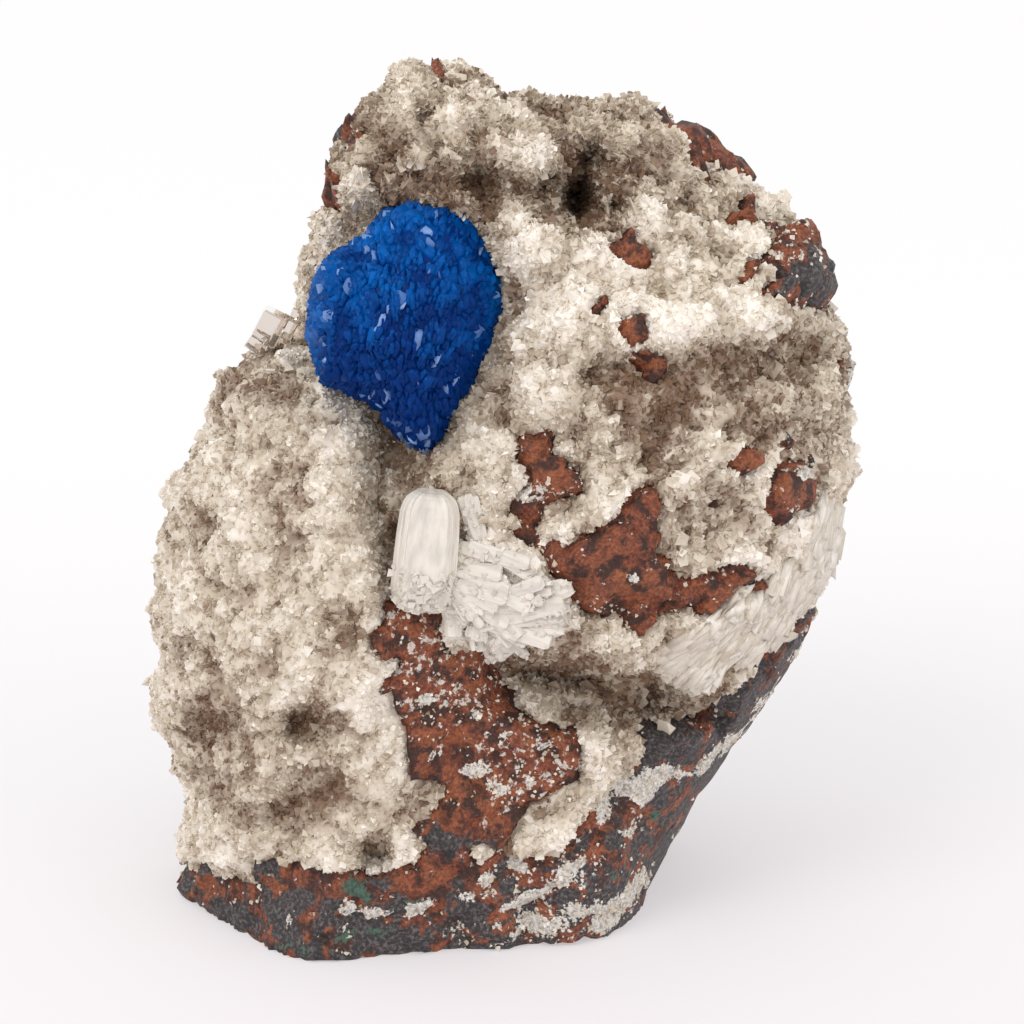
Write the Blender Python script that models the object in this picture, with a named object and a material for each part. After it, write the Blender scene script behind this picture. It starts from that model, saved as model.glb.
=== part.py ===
"""Cavansite on a zeolite druse and basalt: a hand-sized mineral specimen that stands on a flat base.

A broken lump of basalt carries a thick crust of small zeolite crystals on its display face. A ball of
radiating blue cavansite sits in a cleft of the crust, with a few larger crystals beside it. Each mineral
body is one closed solid.

Places on the specimen are given in its face frame, in millimetres: across to the right, up the display
face, and out of it towards the viewer. The face frame leans back from upright. Outlines traced on the
display face are in picture units, and the specimen's real width sets their scale.
"""

import math
from itertools import product

import bmesh
import bpy
import numpy as np
from mathutils import Matrix, Vector

METRE = 0.001

# Driving dimensions, in millimetres
SPECIMEN_WIDTH = 54.5
FRONT_DEPTH = 21.0
BACK_DEPTH = 17.0
CRUST_THICKNESS = 2.3
ROCK_RECESS = 0.8
HIDDEN_CRUST = 3.4
CRUST_WRAP = 2.5
FIT_GAP = 0.3
BASE_CLEARANCE = 0.5
FLOOR_SIZE = 160.0

# Body form: how square the cross-sections are, how far the display face leans back from upright, and how
# far the body's middle follows the upright as it rises
SQUARENESS = 2.6
FACE_LEAN = math.radians(20)
RISE_FOLLOW = 0.25
RISE_START = -0.9

# Picture units of the traced outlines
TRACED_WIDTH = 708
UNIT = SPECIMEN_WIDTH / TRACED_WIDTH
FACE_ORIGIN = (502, 882)
BODY_MIDDLE = (500, 520)

# Moves the middle of the bounding box over the origin, in millimetres
CENTRE_SHIFT = (0.02, 1.06)

# Silhouette of the display face. Its lower points lie under the base, where the flat cut takes them off.
FACE_OUTLINE = (
    (432, 60), (475, 68), (510, 84), (548, 94), (590, 90), (640, 94), (690, 119), (728, 143),
    (765, 186), (808, 219), (830, 250), (834, 315), (854, 355), (848, 420), (846, 500), (832, 580),
    (808, 640), (772, 700), (735, 750), (700, 800), (672, 850), (655, 885), (647, 911), (637, 943),
    (620, 995), (591, 1030), (550, 1040), (513, 1063), (432, 1101), (357, 1137), (265, 1206),
    (195, 1225), (212, 1080), (223, 974), (209, 917), (179, 878), (183, 820), (186, 790), (163, 755),
    (151, 705), (158, 655), (153, 610), (162, 550), (180, 490), (210, 430), (224, 374), (255, 350),
    (303, 335), (306, 245), (322, 200), (334, 145), (362, 105), (397, 72),
)  # fmt: skip

# Broken faces of the back: which way each looks, in the face frame, and its distance from the middle
BREAKS = (
    ((0.08, 0.25, -1.0), 15.4),
    ((-0.62, 0.15, -0.8), 18.6),
    ((0.62, -0.2, -0.78), 19.4),
    ((0.15, 0.85, -0.6), 30.0),
    ((-0.25, -0.5, -0.85), 21.5),
    ((0.75, 0.5, -0.45), 27.5),
)  # fmt: skip

# Places where the crust is open and the basalt shows
ROCK_OPENINGS = (
    # lower middle
    ((400, 598), (425, 600), (440, 632), (462, 655), (500, 680), (518, 712), (535, 730), (585, 735),
     (592, 760), (585, 785), (565, 800), (548, 822), (520, 850), (480, 862), (460, 900), (420, 900),
     (410, 858), (412, 838), (432, 815), (430, 790), (412, 775), (408, 750), (400, 725), (375, 700),
     (392, 668), (375, 655), (372, 640), (390, 625), (385, 608)),
    # right of middle
    ((548, 545), (590, 538), (625, 525), (636, 498), (655, 490), (662, 508), (655, 530), (668, 575),
     (700, 578), (768, 572), (762, 582), (735, 600), (700, 612), (660, 618), (650, 630), (590, 622),
     (572, 592), (556, 592)),
    # middle
    ((518, 434), (542, 434), (540, 452), (556, 470), (582, 472), (578, 492), (560, 505), (535, 518),
     (518, 510), (526, 470)),
    # right shoulder
    ((780, 225), (800, 222), (822, 235), (900, 262), (900, 295), (800, 302), (765, 290), (785, 262),
     (772, 245)),
    # top edge
    ((640, 60), (652, 98), (675, 112), (668, 128), (690, 148), (720, 162), (748, 178), (800, 160),
     (730, 80)),
    # band above the base and along the lower right edge
    ((100, 862), (185, 876), (215, 882), (245, 897), (262, 905), (270, 893), (252, 868), (290, 876),
     (328, 888), (345, 878), (372, 882), (412, 868), (470, 866), (520, 858), (560, 848), (585, 838),
     (592, 815), (612, 795), (628, 780), (625, 765), (642, 745), (640, 735), (680, 732), (722, 722),
     (735, 690), (765, 668), (790, 645), (812, 610), (828, 596), (900, 590), (900, 1300), (100, 1300)),
)  # fmt: skip

# Swells and hollows of the display face: middle, half-sizes and turn of each, and its height in mm
RELIEF = (
    (285, 640, 130, 240, 0, 3.0),
    (440, 145, 110, 90, 0, 2.0),
    (640, 480, 200, 170, -35, 2.5),
    (402, 322, 108, 130, 10, -6.5),
    (396, 505, 32, 95, 6, -5.0),
    (588, 190, 34, 42, 0, -8.5),
    (553, 205, 32, 26, 0, -3.0),
    (490, 195, 28, 22, 0, -2.5),
    (450, 183, 50, 16, 0, -2.0),
    (435, 105, 45, 40, 0, 1.2),
    (517, 155, 36, 32, 0, 2.2),
    (530, 240, 40, 40, 0, 2.6),
    (385, 170, 40, 36, 0, 1.0),
    (640, 150, 60, 45, 0, 1.8),
    (665, 325, 24, 24, 0, 1.0),
    (612, 372, 40, 18, 15, -2.0),
    (760, 362, 120, 28, 8, -2.0),
    (592, 692, 112, 32, -6, -5.0),
    (540, 668, 62, 15, -10, -3.5),
    (625, 634, 85, 22, 8, 1.6),
    (350, 660, 36, 120, 0, 1.2),
    (655, 688, 20, 18, 0, -3.0),
    (310, 722, 26, 22, 0, -3.5),
    (375, 850, 18, 18, 0, -3.8),
    (300, 795, 50, 28, 20, -2.0),
    (205, 728, 28, 20, 0, -1.6),
    (238, 378, 30, 18, 0, -2.0),
    (480, 740, 110, 100, 0, -1.2),
)  # fmt: skip

# Slanting bands of the right lobe: their middle, turn, spacing, height and how far they reach in mm
BAND_MIDDLE = (680, 430)
BAND_TURN = 32
BAND_SPACING = 3.6
BAND_HEIGHT = 1.3
BAND_REACH = (20.0, 15.0)

# Lumps of the crust: spacing and height of each size, in millimetres
CRUST_LUMPS = ((5.6, 1.6), (2.9, 0.9))
ROCK_LUMPS = ((7.5, 0.9), (3.0, 0.5))
CRYSTAL_JAG = 0.42
ROCK_JAG = 0.16

# Cavansite ball
BALL_OUTLINE = (
    (312, 312), (318, 282), (332, 262), (352, 250), (372, 236), (388, 218), (415, 204), (442, 206),
    (466, 208), (480, 228), (492, 250), (503, 285), (501, 320), (494, 345), (480, 372), (464, 400),
    (447, 424), (436, 450), (418, 452), (400, 438), (388, 415), (368, 402), (345, 394), (326, 386),
    (319, 362), (312, 340),
)  # fmt: skip
BALL_MIDDLE = (408, 322)
BALL_LIFT = 2.6
BALL_DEPTH = 7.4
BLADE_HEIGHT = 0.75

# Upright stilbite crystal
COLUMN_FOOT = (424, 598)
COLUMN_HEAD = (434, 492)
COLUMN_LIFTS = (1.2, 1.6)
COLUMN_HALF_WIDTH = 2.6
COLUMN_HALF_DEPTH = 1.9

# Stilbite fan: tip places of its blades, how far each tip stands off the crust, and its half-width
FAN_FOOT = (466, 600)
FAN_FOOT_LIFT = -0.6
FAN_TIPS = (
    (482, 544, 0.8, 1.7),
    (518, 550, 1.4, 1.8),
    (552, 574, 1.8, 1.9),
    (568, 606, 1.6, 1.8),
    (548, 640, 2.6, 1.9),
    (505, 654, 2.8, 1.8),
    (470, 640, 2.2, 1.5),
    (530, 604, 3.2, 1.8),
)  # fmt: skip
FAN_THICKNESS = 2.3

# Clear blocky crystals: middle, lift off the body, half-sizes in mm and turn of each
BLOCKS = (
    ((284, 333), 0.6, (1.15, 1.55, 1.3), (12, 20, 35)),
    ((300, 334), 0.2, (1.0, 1.3, 1.1), (-25, 35, 10)),
    ((270, 343), 0.6, (0.95, 1.1, 1.0), (20, -15, -20)),
)

# Mesh fineness
BODY_ROUNDS = 6
ROCK_KEEP = 0.1
CRUST_KEEP = 0.22
BALL_ROUNDS = 3


def lean(points):
    """Turns face-frame millimetres into upright metres, with the base at zero height."""
    across, up, out = np.asarray(points, float).T
    rise, run = math.cos(FACE_LEAN), math.sin(FACE_LEAN)
    upright = (across + CENTRE_SHIFT[0], up * run - out * rise + CENTRE_SHIFT[1], up * rise + out * run)
    return np.stack(upright, axis=1) * METRE


def hashed(cells, seed):
    """Gives one repeatable number from 0 to 1 for each whole-number cell."""
    x, y, z = (cells[:, axis].astype(np.int64).astype(np.uint64) for axis in range(3))
    mixed = x * np.uint64(73856093) ^ y * np.uint64(19349663) ^ z * np.uint64(83492791)
    mixed ^= np.uint64(seed * 2654435761)
    for shift, factor in ((15, 2246822519), (13, 3266489917), (16, 668265263)):
        mixed = (mixed ^ (mixed >> np.uint64(shift))) * np.uint64(factor) & np.uint64(0xFFFFFFFF)
    return (mixed ^ (mixed >> np.uint64(14))).astype(float) % 65536 / 65535


def soft_noise(points, spacing, seed):
    """Smooth noise from -1 to 1 whose hills lie about one spacing apart."""
    scaled = points / spacing
    corner = np.floor(scaled)
    part = scaled - corner
    part = part * part * (3 - 2 * part)
    total = np.zeros(len(points))
    for step in product((0, 1), repeat=3):
        weight = np.prod(np.where(step, part, 1 - part), axis=1)
        total += weight * hashed(corner + step, seed)
    return 2 * total - 1


def lumps(points, spacing, seed):
    """Round-topped lumps packed about one spacing apart, from 0 in the creases to 1 on the tops."""
    scaled = points / spacing
    corner = np.floor(scaled)
    nearest = np.full(len(points), 4.0)
    for step in product((-1, 0, 1), repeat=3):
        cell = corner + step
        jitter = np.stack([hashed(cell, seed + axis) for axis in range(3)], axis=1)
        gap = np.sum((cell + 0.15 + 0.7 * jitter - scaled) ** 2, axis=1)
        nearest = np.minimum(nearest, gap)
    return 1 - np.minimum(2 * nearest, 1)


def rim_radius(outline, middle, angles):
    """Distance in mm from the middle to a traced outline, for directions on the face."""
    trace = np.array(outline, float)
    across = (trace[:, 0] - middle[0]) * UNIT
    up = (middle[1] - trace[:, 1]) * UNIT
    bearing = np.arctan2(up, across)
    return np.interp(angles, bearing, np.hypot(across, up), period=2 * math.pi)


def inside(outline, places):
    """Signed distance in mm from a traced outline: positive inside it, negative outside."""
    corners = np.array(outline, float)
    x, y = places.T
    nearest = np.full(len(places), np.inf)
    odd = np.zeros(len(places), bool)
    for (ax, ay), (bx, by) in zip(corners, np.roll(corners, -1, axis=0)):
        run, rise = bx - ax, by - ay
        along = ((x - ax) * run + (y - ay) * rise) / (run * run + rise * rise)
        along = np.clip(along, 0, 1)
        nearest = np.minimum(nearest, np.hypot(x - ax - along * run, y - ay - along * rise))
        crosses = (ay > y) != (by > y)
        odd ^= crosses & (x < ax + (y - ay) * run / (rise if rise else 1))
    return np.where(odd, nearest, -nearest) * UNIT


def bands(places):
    """Height in mm of the slanting ridges and furrows that cross the right lobe."""
    slant = math.radians(BAND_TURN)
    right, down = (places - BAND_MIDDLE).T * UNIT
    along = right * math.cos(slant) - down * math.sin(slant)
    aside = right * math.sin(slant) + down * math.cos(slant)
    ridge = soft_noise(np.stack([along / 3.2, aside, 0 * aside], axis=1), BAND_SPACING, 41)
    reach = (along / BAND_REACH[0]) ** 2 + (aside / BAND_REACH[1]) ** 2
    return BAND_HEIGHT * ridge * np.exp(-(reach**2))


def relief(places):
    """Height in mm of the swells and hollows at picture places on the face."""
    total = np.zeros(len(places))
    for x, y, half_x, half_y, turn, height in RELIEF:
        cosine, sine = math.cos(math.radians(turn)), math.sin(math.radians(turn))
        right, down = places[:, 0] - x, places[:, 1] - y
        along = (right * cosine - down * sine) / half_x
        aside = (right * sine + down * cosine) / half_y
        total += height * np.exp(-((along**2 + aside**2) ** 2))
    return total + bands(places)


def body_points(directions, depth):
    """Places points of the body in the face frame, a depth under its surface, one per direction."""
    across, up, out = directions.T
    flat = np.hypot(across, up)
    rim = rim_radius(FACE_OUTLINE, BODY_MIDDLE, np.arctan2(up, across))
    thick = np.where(out > 0, FRONT_DEPTH, BACK_DEPTH)
    reach = ((flat / rim) ** SQUARENESS + (np.abs(out) / thick) ** SQUARENESS) ** (-1 / SQUARENESS)
    for looks, distance in BREAKS:
        towards = directions @ (np.array(looks) / np.linalg.norm(looks))
        reach = np.minimum(reach, distance / np.maximum(towards, 0.01))
    points = directions * (reach - depth)[:, None]
    surface_out = directions[:, 2] * reach
    picture = np.stack(
        [BODY_MIDDLE[0] + points[:, 0] / UNIT, BODY_MIDDLE[1] - points[:, 1] / UNIT], axis=1
    )
    facing = np.clip((surface_out - 1) / 8, 0, 1)
    points[:, 2] += relief(picture) * facing * facing * (3 - 2 * facing)
    points[:, 0] += (BODY_MIDDLE[0] - FACE_ORIGIN[0]) * UNIT
    points[:, 1] += (FACE_ORIGIN[1] - BODY_MIDDLE[1]) * UNIT
    points[:, 2] += RISE_FOLLOW * points[:, 1] + RISE_START
    return points, picture, surface_out


def place(picture, lift):
    """Turns a picture place into face-frame millimetres, lifted off the surface of the body."""
    spot = np.array([picture], float)
    right, above = (spot[0] - BODY_MIDDLE) * (UNIT, -UNIT)
    rim = rim_radius(FACE_OUTLINE, BODY_MIDDLE, math.atan2(above, right))
    share = min(math.hypot(right, above) / rim, 0.98)
    level = FRONT_DEPTH * (1 - share**SQUARENESS) ** (1 / SQUARENESS)
    across, up = (spot[0] - FACE_ORIGIN) * (UNIT, -UNIT)
    return Vector((across, up, level + relief(spot)[0] + RISE_FOLLOW * up + RISE_START + lift))


def open_rock(points, picture, surface_out):
    """How far in mm each point lies inside the bare basalt, negative under the crust."""
    wander = 0.7 * soft_noise(points, 2.2, 11)
    bare = -surface_out - CRUST_WRAP
    for outline in ROCK_OPENINGS:
        bare = np.maximum(bare, inside(outline, picture))
    return bare + wander


def body_mesh(name, rounds, crust):
    """Makes the basalt body, or the body whose outside is the crust, from a round ball of faces."""
    mesh = bpy.data.meshes.new(name)
    ball = bmesh.new()
    bmesh.ops.create_icosphere(ball, subdivisions=rounds, radius=1)
    directions = np.array([corner.co for corner in ball.verts])
    points, picture, surface_out = body_points(directions, np.zeros(len(directions)))
    bare = np.clip(open_rock(points, picture, surface_out) / 0.9, -1, 1) * 0.5 + 0.5
    chance = np.random.default_rng(7 if crust else 8).uniform(-1, 1, len(directions))
    if crust:
        swell = sum(high * (lumps(points, gap, 21) - 0.5) for gap, high in CRUST_LUMPS)
        depth = bare * HIDDEN_CRUST - swell * (1 - 0.7 * bare) - CRYSTAL_JAG * chance
    else:
        swell = sum(high * soft_noise(points, gap, 31) for gap, high in ROCK_LUMPS)
        depth = CRUST_THICKNESS + (ROCK_RECESS - CRUST_THICKNESS) * bare - bare * swell - ROCK_JAG * chance
    shaped = body_points(directions, depth)[0]
    for corner, spot in zip(ball.verts, lean(shaped)):
        corner.co = spot
    ball.to_mesh(mesh)
    ball.free()
    return mesh


def ball_mesh(name, grow):
    """Makes the cavansite ball: a round body of blade tips, each face raised to a sharp tip."""
    mesh = bpy.data.meshes.new(name)
    ball = bmesh.new()
    bmesh.ops.create_icosphere(ball, subdivisions=BALL_ROUNDS, radius=1)
    bmesh.ops.poke(ball, faces=ball.faces[:])
    directions = np.array([corner.co for corner in ball.verts])
    directions /= np.linalg.norm(directions, axis=1)[:, None]
    tips = np.array([len(corner.link_faces) == 3 for corner in ball.verts], float)
    flat = np.hypot(directions[:, 0], directions[:, 1])
    rim = rim_radius(BALL_OUTLINE, BALL_MIDDLE, np.arctan2(directions[:, 1], directions[:, 0]))
    reach = 1 / np.sqrt((flat / rim) ** 2 + (directions[:, 2] / BALL_DEPTH) ** 2)
    chance = np.random.default_rng(5).uniform(0.35, 1, len(directions))
    reach += grow if grow else BLADE_HEIGHT * (tips * chance - 0.55)
    spots = directions * reach[:, None] + np.array(place(BALL_MIDDLE, BALL_LIFT))
    for corner, spot in zip(ball.verts, lean(spots)):
        corner.co = spot
    bmesh.ops.triangulate(ball, faces=ball.faces[:])
    ball.to_mesh(mesh)
    ball.free()
    return mesh


def face_matrix():
    """Turns face-frame millimetres into upright metres, as a matrix."""
    columns = lean(np.vstack([np.zeros(3), np.eye(3)]))
    turned = Matrix([list(columns[axis + 1] - columns[0]) for axis in range(3)]).transposed().to_4x4()
    turned.translation = Vector(columns[0])
    return turned


def aim(along):
    """Turns a crystal's length along a direction, with its thin side facing out of the display face."""
    length = along.normalized()
    thin = (Vector((0, 0, 1)) - length * length.z).normalized()
    return Matrix([list(thin.cross(length)), list(thin), list(length)]).transposed()


def bar_mesh(name, foot, head, half_width, half_depth, sides, rings, grow):
    """Makes an upright crystal from foot to head: a ribbed bar with a rounded top."""
    mesh = bpy.data.meshes.new(name)
    bar = bmesh.new()
    bmesh.ops.create_uvsphere(bar, u_segments=sides, v_segments=rings, radius=1)
    along = head - foot
    turn = aim(along)
    for corner in bar.verts:
        height = corner.co.z
        around = math.hypot(corner.co.x, corner.co.y)
        fuller = (1 - abs(height) ** 5) ** 0.2 / around if around > 1e-6 else 0
        rib = 1.0 + 0.06 * math.cos(6 * math.atan2(corner.co.y, corner.co.x))
        spot = Vector(
            (
                corner.co.x * fuller * rib * (half_width + grow),
                corner.co.y * fuller * rib * (half_depth + grow),
                (0.5 + 0.5 * height) * along.length + height * grow,
            )
        )
        corner.co = turn @ spot + foot
    bar.transform(face_matrix())
    bar.to_mesh(mesh)
    bar.free()
    return mesh


def blade_mesh(name, foot, tip, half_width, thickness, grow):
    """Makes one flat five-sided blade of the fan with a blunt tip."""
    mesh = bpy.data.meshes.new(name)
    blade = bmesh.new()
    bmesh.ops.create_cone(blade, segments=5, radius1=0.8, radius2=0.75, depth=1, cap_ends=True)
    along = tip - foot
    turn = aim(along)
    for corner in blade.verts:
        height = corner.co.z + 0.5
        spot = Vector(
            (
                corner.co.x * (half_width + grow),
                corner.co.y * (thickness / 2 + grow),
                height * (along.length + grow) - (1 - height) * grow,
            )
        )
        corner.co = turn @ spot + foot
    blade.transform(face_matrix())
    blade.to_mesh(mesh)
    blade.free()
    return mesh


def block_mesh(name, middle, half_sizes, turns, grow):
    """Makes one blocky clear crystal with bevelled corners."""
    mesh = bpy.data.meshes.new(name)
    block = bmesh.new()
    bmesh.ops.create_cube(block, size=2)
    bmesh.ops.bevel(
        block, geom=block.verts[:], offset=0.35, segments=1, affect="VERTICES", profile=0.5
    )
    turned = Matrix.Identity(3)
    for axis, angle in zip("XYZ", turns):
        turned = Matrix.Rotation(math.radians(angle), 3, axis) @ turned
    for corner in block.verts:
        sized = [value * (half + grow) for value, half in zip(corner.co, half_sizes)]
        corner.co = turned @ Vector(sized) + middle
    bmesh.ops.triangulate(block, faces=block.faces[:])
    block.transform(face_matrix())
    block.to_mesh(mesh)
    block.free()
    return mesh


def floor_mesh(name, level):
    """Makes a wide block under a level in millimetres, for cutting the base flat."""
    mesh = bpy.data.meshes.new(name)
    block = bmesh.new()
    bmesh.ops.create_cube(block, size=FLOOR_SIZE * METRE)
    bmesh.ops.translate(block, verts=block.verts, vec=(0, 0, (level - FLOOR_SIZE / 2) * METRE))
    block.to_mesh(mesh)
    block.free()
    return mesh


def add_object(name, mesh, collection):
    """Puts a mesh into the scene as a named object."""
    made = bpy.data.objects.new(name, mesh)
    collection.objects.link(made)
    return made


def add_cutter(name, mesh, cutters):
    """Puts a tool body into the scene, hidden from the finished part."""
    made = add_object(name, mesh, cutters)
    made.hide_render = True
    made.display_type = "WIRE"
    return made


def combine(target, tool, operation):
    """Cuts, joins or crosses one solid with another."""
    step = target.modifiers.new(tool.name, "BOOLEAN")
    step.operation = operation
    step.object = tool
    step.solver = "EXACT"


def thin_out(target, keep):
    """Keeps the given share of the faces and lets go of those that change the shape least."""
    step = target.modifiers.new("thin_out", "DECIMATE")
    step.decimate_type = "COLLAPSE"
    step.ratio = keep
    bake(target)


def bake(target):
    """Replaces an object's mesh by what its modifiers make of it."""
    bpy.context.view_layer.update()
    finished = target.evaluated_get(bpy.context.evaluated_depsgraph_get())
    mesh = bpy.data.meshes.new_from_object(finished)
    target.modifiers.clear()
    target.data = mesh


def swell_out(mesh, name, distance):
    """Copies a mesh with every corner moved outwards, in metres."""
    grown = mesh.copy()
    grown.name = name
    normals = [corner.normal.copy() for corner in grown.vertices]
    for corner, normal in zip(grown.vertices, normals):
        corner.co += normal * distance
    return grown


def keep_largest(target):
    """Drops every loose island of a mesh but the largest."""
    body = bmesh.new()
    body.from_mesh(target.data)
    left = set(body.verts)
    islands = []
    while left:
        island = {left.pop()}
        edge = list(island)
        while edge:
            corner = edge.pop()
            for link in corner.link_edges:
                other = link.other_vert(corner)
                if other in left:
                    left.discard(other)
                    island.add(other)
                    edge.append(other)
        islands.append(island)
    islands.sort(key=len)
    for island in islands[:-1]:
        bmesh.ops.delete(body, geom=list(island), context="VERTS")
    body.to_mesh(target.data)
    body.free()


def paint(target, name, colour, roughness, transmission=0.0, ior=1.5):
    """Gives an object its own material."""
    material = bpy.data.materials.new(name)
    material.use_nodes = True
    surface = material.node_tree.nodes["Principled BSDF"]
    surface.inputs["Base Color"].default_value = (*colour, 1)
    surface.inputs["Roughness"].default_value = roughness
    surface.inputs["Metallic"].default_value = 0
    surface.inputs["Transmission Weight"].default_value = transmission
    surface.inputs["IOR"].default_value = ior
    target.data.materials.clear()
    target.data.materials.append(material)


def main():
    for old in list(bpy.data.objects):
        bpy.data.objects.remove(old)
    specimen = bpy.data.collections.new("cavansite")
    cutters = bpy.data.collections.new("cutters")
    bpy.context.scene.collection.children.link(specimen)
    bpy.context.scene.collection.children.link(cutters)

    # The basalt and the body of the crust
    basalt = add_object("basalt_matrix", body_mesh("basalt_matrix", BODY_ROUNDS, False), specimen)
    thin_out(basalt, ROCK_KEEP)
    crust = add_object("druse_crust", body_mesh("druse_crust", BODY_ROUNDS, True), specimen)
    thin_out(crust, CRUST_KEEP)
    rock_space = add_cutter("rock_space", swell_out(basalt.data, "rock_space", FIT_GAP * METRE), cutters)
    combine(crust, rock_space, "DIFFERENCE")
    bake(crust)

    # The larger crystals and the room each needs
    ball = add_object("cavansite_ball", ball_mesh("cavansite_ball", 0), specimen)
    ball_space = add_cutter("ball_space", ball_mesh("ball_space", FIT_GAP + 0.45 * BLADE_HEIGHT), cutters)
    foot, head = place(COLUMN_FOOT, COLUMN_LIFTS[0]), place(COLUMN_HEAD, COLUMN_LIFTS[1])
    bar = (foot, head, COLUMN_HALF_WIDTH, COLUMN_HALF_DEPTH, 12, 8)
    column = add_object("stilbite_column", bar_mesh("stilbite_column", *bar, 0), specimen)
    column_space = add_cutter("column_space", bar_mesh("column_space", *bar, FIT_GAP), cutters)

    fan_foot = place(FAN_FOOT, FAN_FOOT_LIFT)
    fans = []
    for grow in (0, FIT_GAP):
        for count, (x, y, lift, half_width) in enumerate(FAN_TIPS):
            name = f"fan_{'space_' if grow else ''}{count}"
            mesh = blade_mesh(name, fan_foot, place((x, y), lift), half_width, FAN_THICKNESS, grow)
            if count == 0:
                whole = add_object("stilbite_sheaf", mesh, specimen) if not grow else None
                fans.append(whole or add_cutter(name, mesh, cutters))
            else:
                combine(fans[-1], add_cutter(name, mesh, cutters), "UNION")
        bake(fans[-1])
    sheaf, sheaf_space = fans

    clear = []
    for grow in (0, FIT_GAP):
        for count, (middle, lift, half_sizes, turns) in enumerate(BLOCKS):
            name = f"block_{'space_' if grow else ''}{count}"
            mesh = block_mesh(name, place(middle, lift), half_sizes, turns, grow)
            if count == 0:
                whole = add_object("apophyllite_crystals", mesh, specimen) if not grow else None
                clear.append(whole or add_cutter(name, mesh, cutters))
            else:
                combine(clear[-1], add_cutter(name, mesh, cutters), "UNION")
        bake(clear[-1])
    blocks, blocks_space = clear

    # Pockets for the crystals, the column first so that the fan closes round it
    combine(sheaf, column_space, "DIFFERENCE")
    bake(sheaf)
    keep_largest(sheaf)
    for host in (basalt, crust):
        for space in (ball_space, column_space, sheaf_space, blocks_space):
            combine(host, space, "DIFFERENCE")
        bake(host)

    # The flat base, with the crust kept a little above it
    for host, level in ((basalt, 0), (crust, BASE_CLEARANCE)):
        name = f"{host.name}_floor"
        combine(host, add_cutter(name, floor_mesh(name, level), cutters), "DIFFERENCE")
        bake(host)
        keep_largest(host)

    paint(basalt, "basalt", (0.17, 0.09, 0.075), 0.85)
    paint(crust, "druse", (0.48, 0.42, 0.36), 0.45)
    paint(ball, "cavansite", (0.0, 0.075, 0.35), 0.35)
    paint(column, "stilbite", (0.74, 0.72, 0.68), 0.35)
    paint(sheaf, "stilbite_fan", (0.72, 0.70, 0.66), 0.35)
    paint(blocks, "apophyllite", (0.8, 0.8, 0.78), 0.1, 0.9, 1.54)


main()
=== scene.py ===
"""The looks of a cavansite specimen: a lump of basalt under a druse of small zeolite crystals, with a ball
of blue cavansite in its cleft and a few larger white and clear crystals beside it.

The display face leans back from upright. Places on it are traced in picture units, as the solid model
has them, and turned into millimetres by the specimen's real width.
"""

import math
from itertools import product
from types import SimpleNamespace

import bpy
import numpy as np
from bpy.props import FloatProperty, FloatVectorProperty, IntProperty, PointerProperty
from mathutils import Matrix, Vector


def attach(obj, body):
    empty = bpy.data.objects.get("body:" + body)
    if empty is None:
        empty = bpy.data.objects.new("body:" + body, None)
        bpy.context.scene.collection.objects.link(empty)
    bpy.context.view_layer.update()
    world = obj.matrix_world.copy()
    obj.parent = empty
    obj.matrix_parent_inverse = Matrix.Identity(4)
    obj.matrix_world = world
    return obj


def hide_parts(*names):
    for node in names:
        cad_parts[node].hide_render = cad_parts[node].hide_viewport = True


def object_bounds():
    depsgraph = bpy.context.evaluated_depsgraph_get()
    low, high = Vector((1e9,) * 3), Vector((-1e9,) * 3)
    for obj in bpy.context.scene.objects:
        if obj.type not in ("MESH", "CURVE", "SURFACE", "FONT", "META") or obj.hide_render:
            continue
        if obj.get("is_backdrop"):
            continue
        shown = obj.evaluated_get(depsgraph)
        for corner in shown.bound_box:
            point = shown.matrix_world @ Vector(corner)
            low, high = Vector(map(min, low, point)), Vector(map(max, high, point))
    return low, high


bl_info = {
    "name": "Cavansite specimen",
    "version": (1, 0, 0),
    "blender": (4, 5, 0),
    "location": "3D View > Sidebar > Specimen",
    "description": "Builds the looks of a cavansite ball on a zeolite druse and basalt",
    "category": "Add Mesh",
}

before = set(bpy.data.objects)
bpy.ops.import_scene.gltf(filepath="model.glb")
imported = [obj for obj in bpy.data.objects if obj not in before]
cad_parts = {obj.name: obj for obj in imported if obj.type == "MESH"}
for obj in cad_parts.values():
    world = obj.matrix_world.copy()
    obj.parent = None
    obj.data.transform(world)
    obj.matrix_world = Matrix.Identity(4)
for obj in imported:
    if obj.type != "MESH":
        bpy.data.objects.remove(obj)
CAD_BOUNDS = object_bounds()

METRE = 0.001
FAR_OUTSIDE = -9.0

# Body form in millimetres. Only the recess of the bare basalt differs from the solid model's.
SPECIMEN_WIDTH = 54.5
FRONT_DEPTH = 21.0
BACK_DEPTH = 17.0
CRUST_THICKNESS = 2.3
ROCK_RECESS = 0.5
HIDDEN_CRUST = 3.4
CRUST_WRAP = 2.5
SQUARENESS = 2.6
FACE_LEAN = math.radians(20)
RISE_FOLLOW = 0.25
RISE_START = -0.9
BASE_CLEARANCE = 0.5

# How far in front of the rim, in mm, the swells of the face begin, over how far they grow to their full
# height, and over how far what belongs to the front alone fades in
RELIEF_START = 1.0
RELIEF_BLEND = 8.0
FRONT_BLEND = 3.0

# Picture units of the traced outlines
TRACED_WIDTH = 708
UNIT = SPECIMEN_WIDTH / TRACED_WIDTH
FACE_ORIGIN = (502, 882)
BODY_MIDDLE = (500, 520)
PICTURE_SIZE = 1024
CENTRE_SHIFT = (0.02, 1.06)

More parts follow.
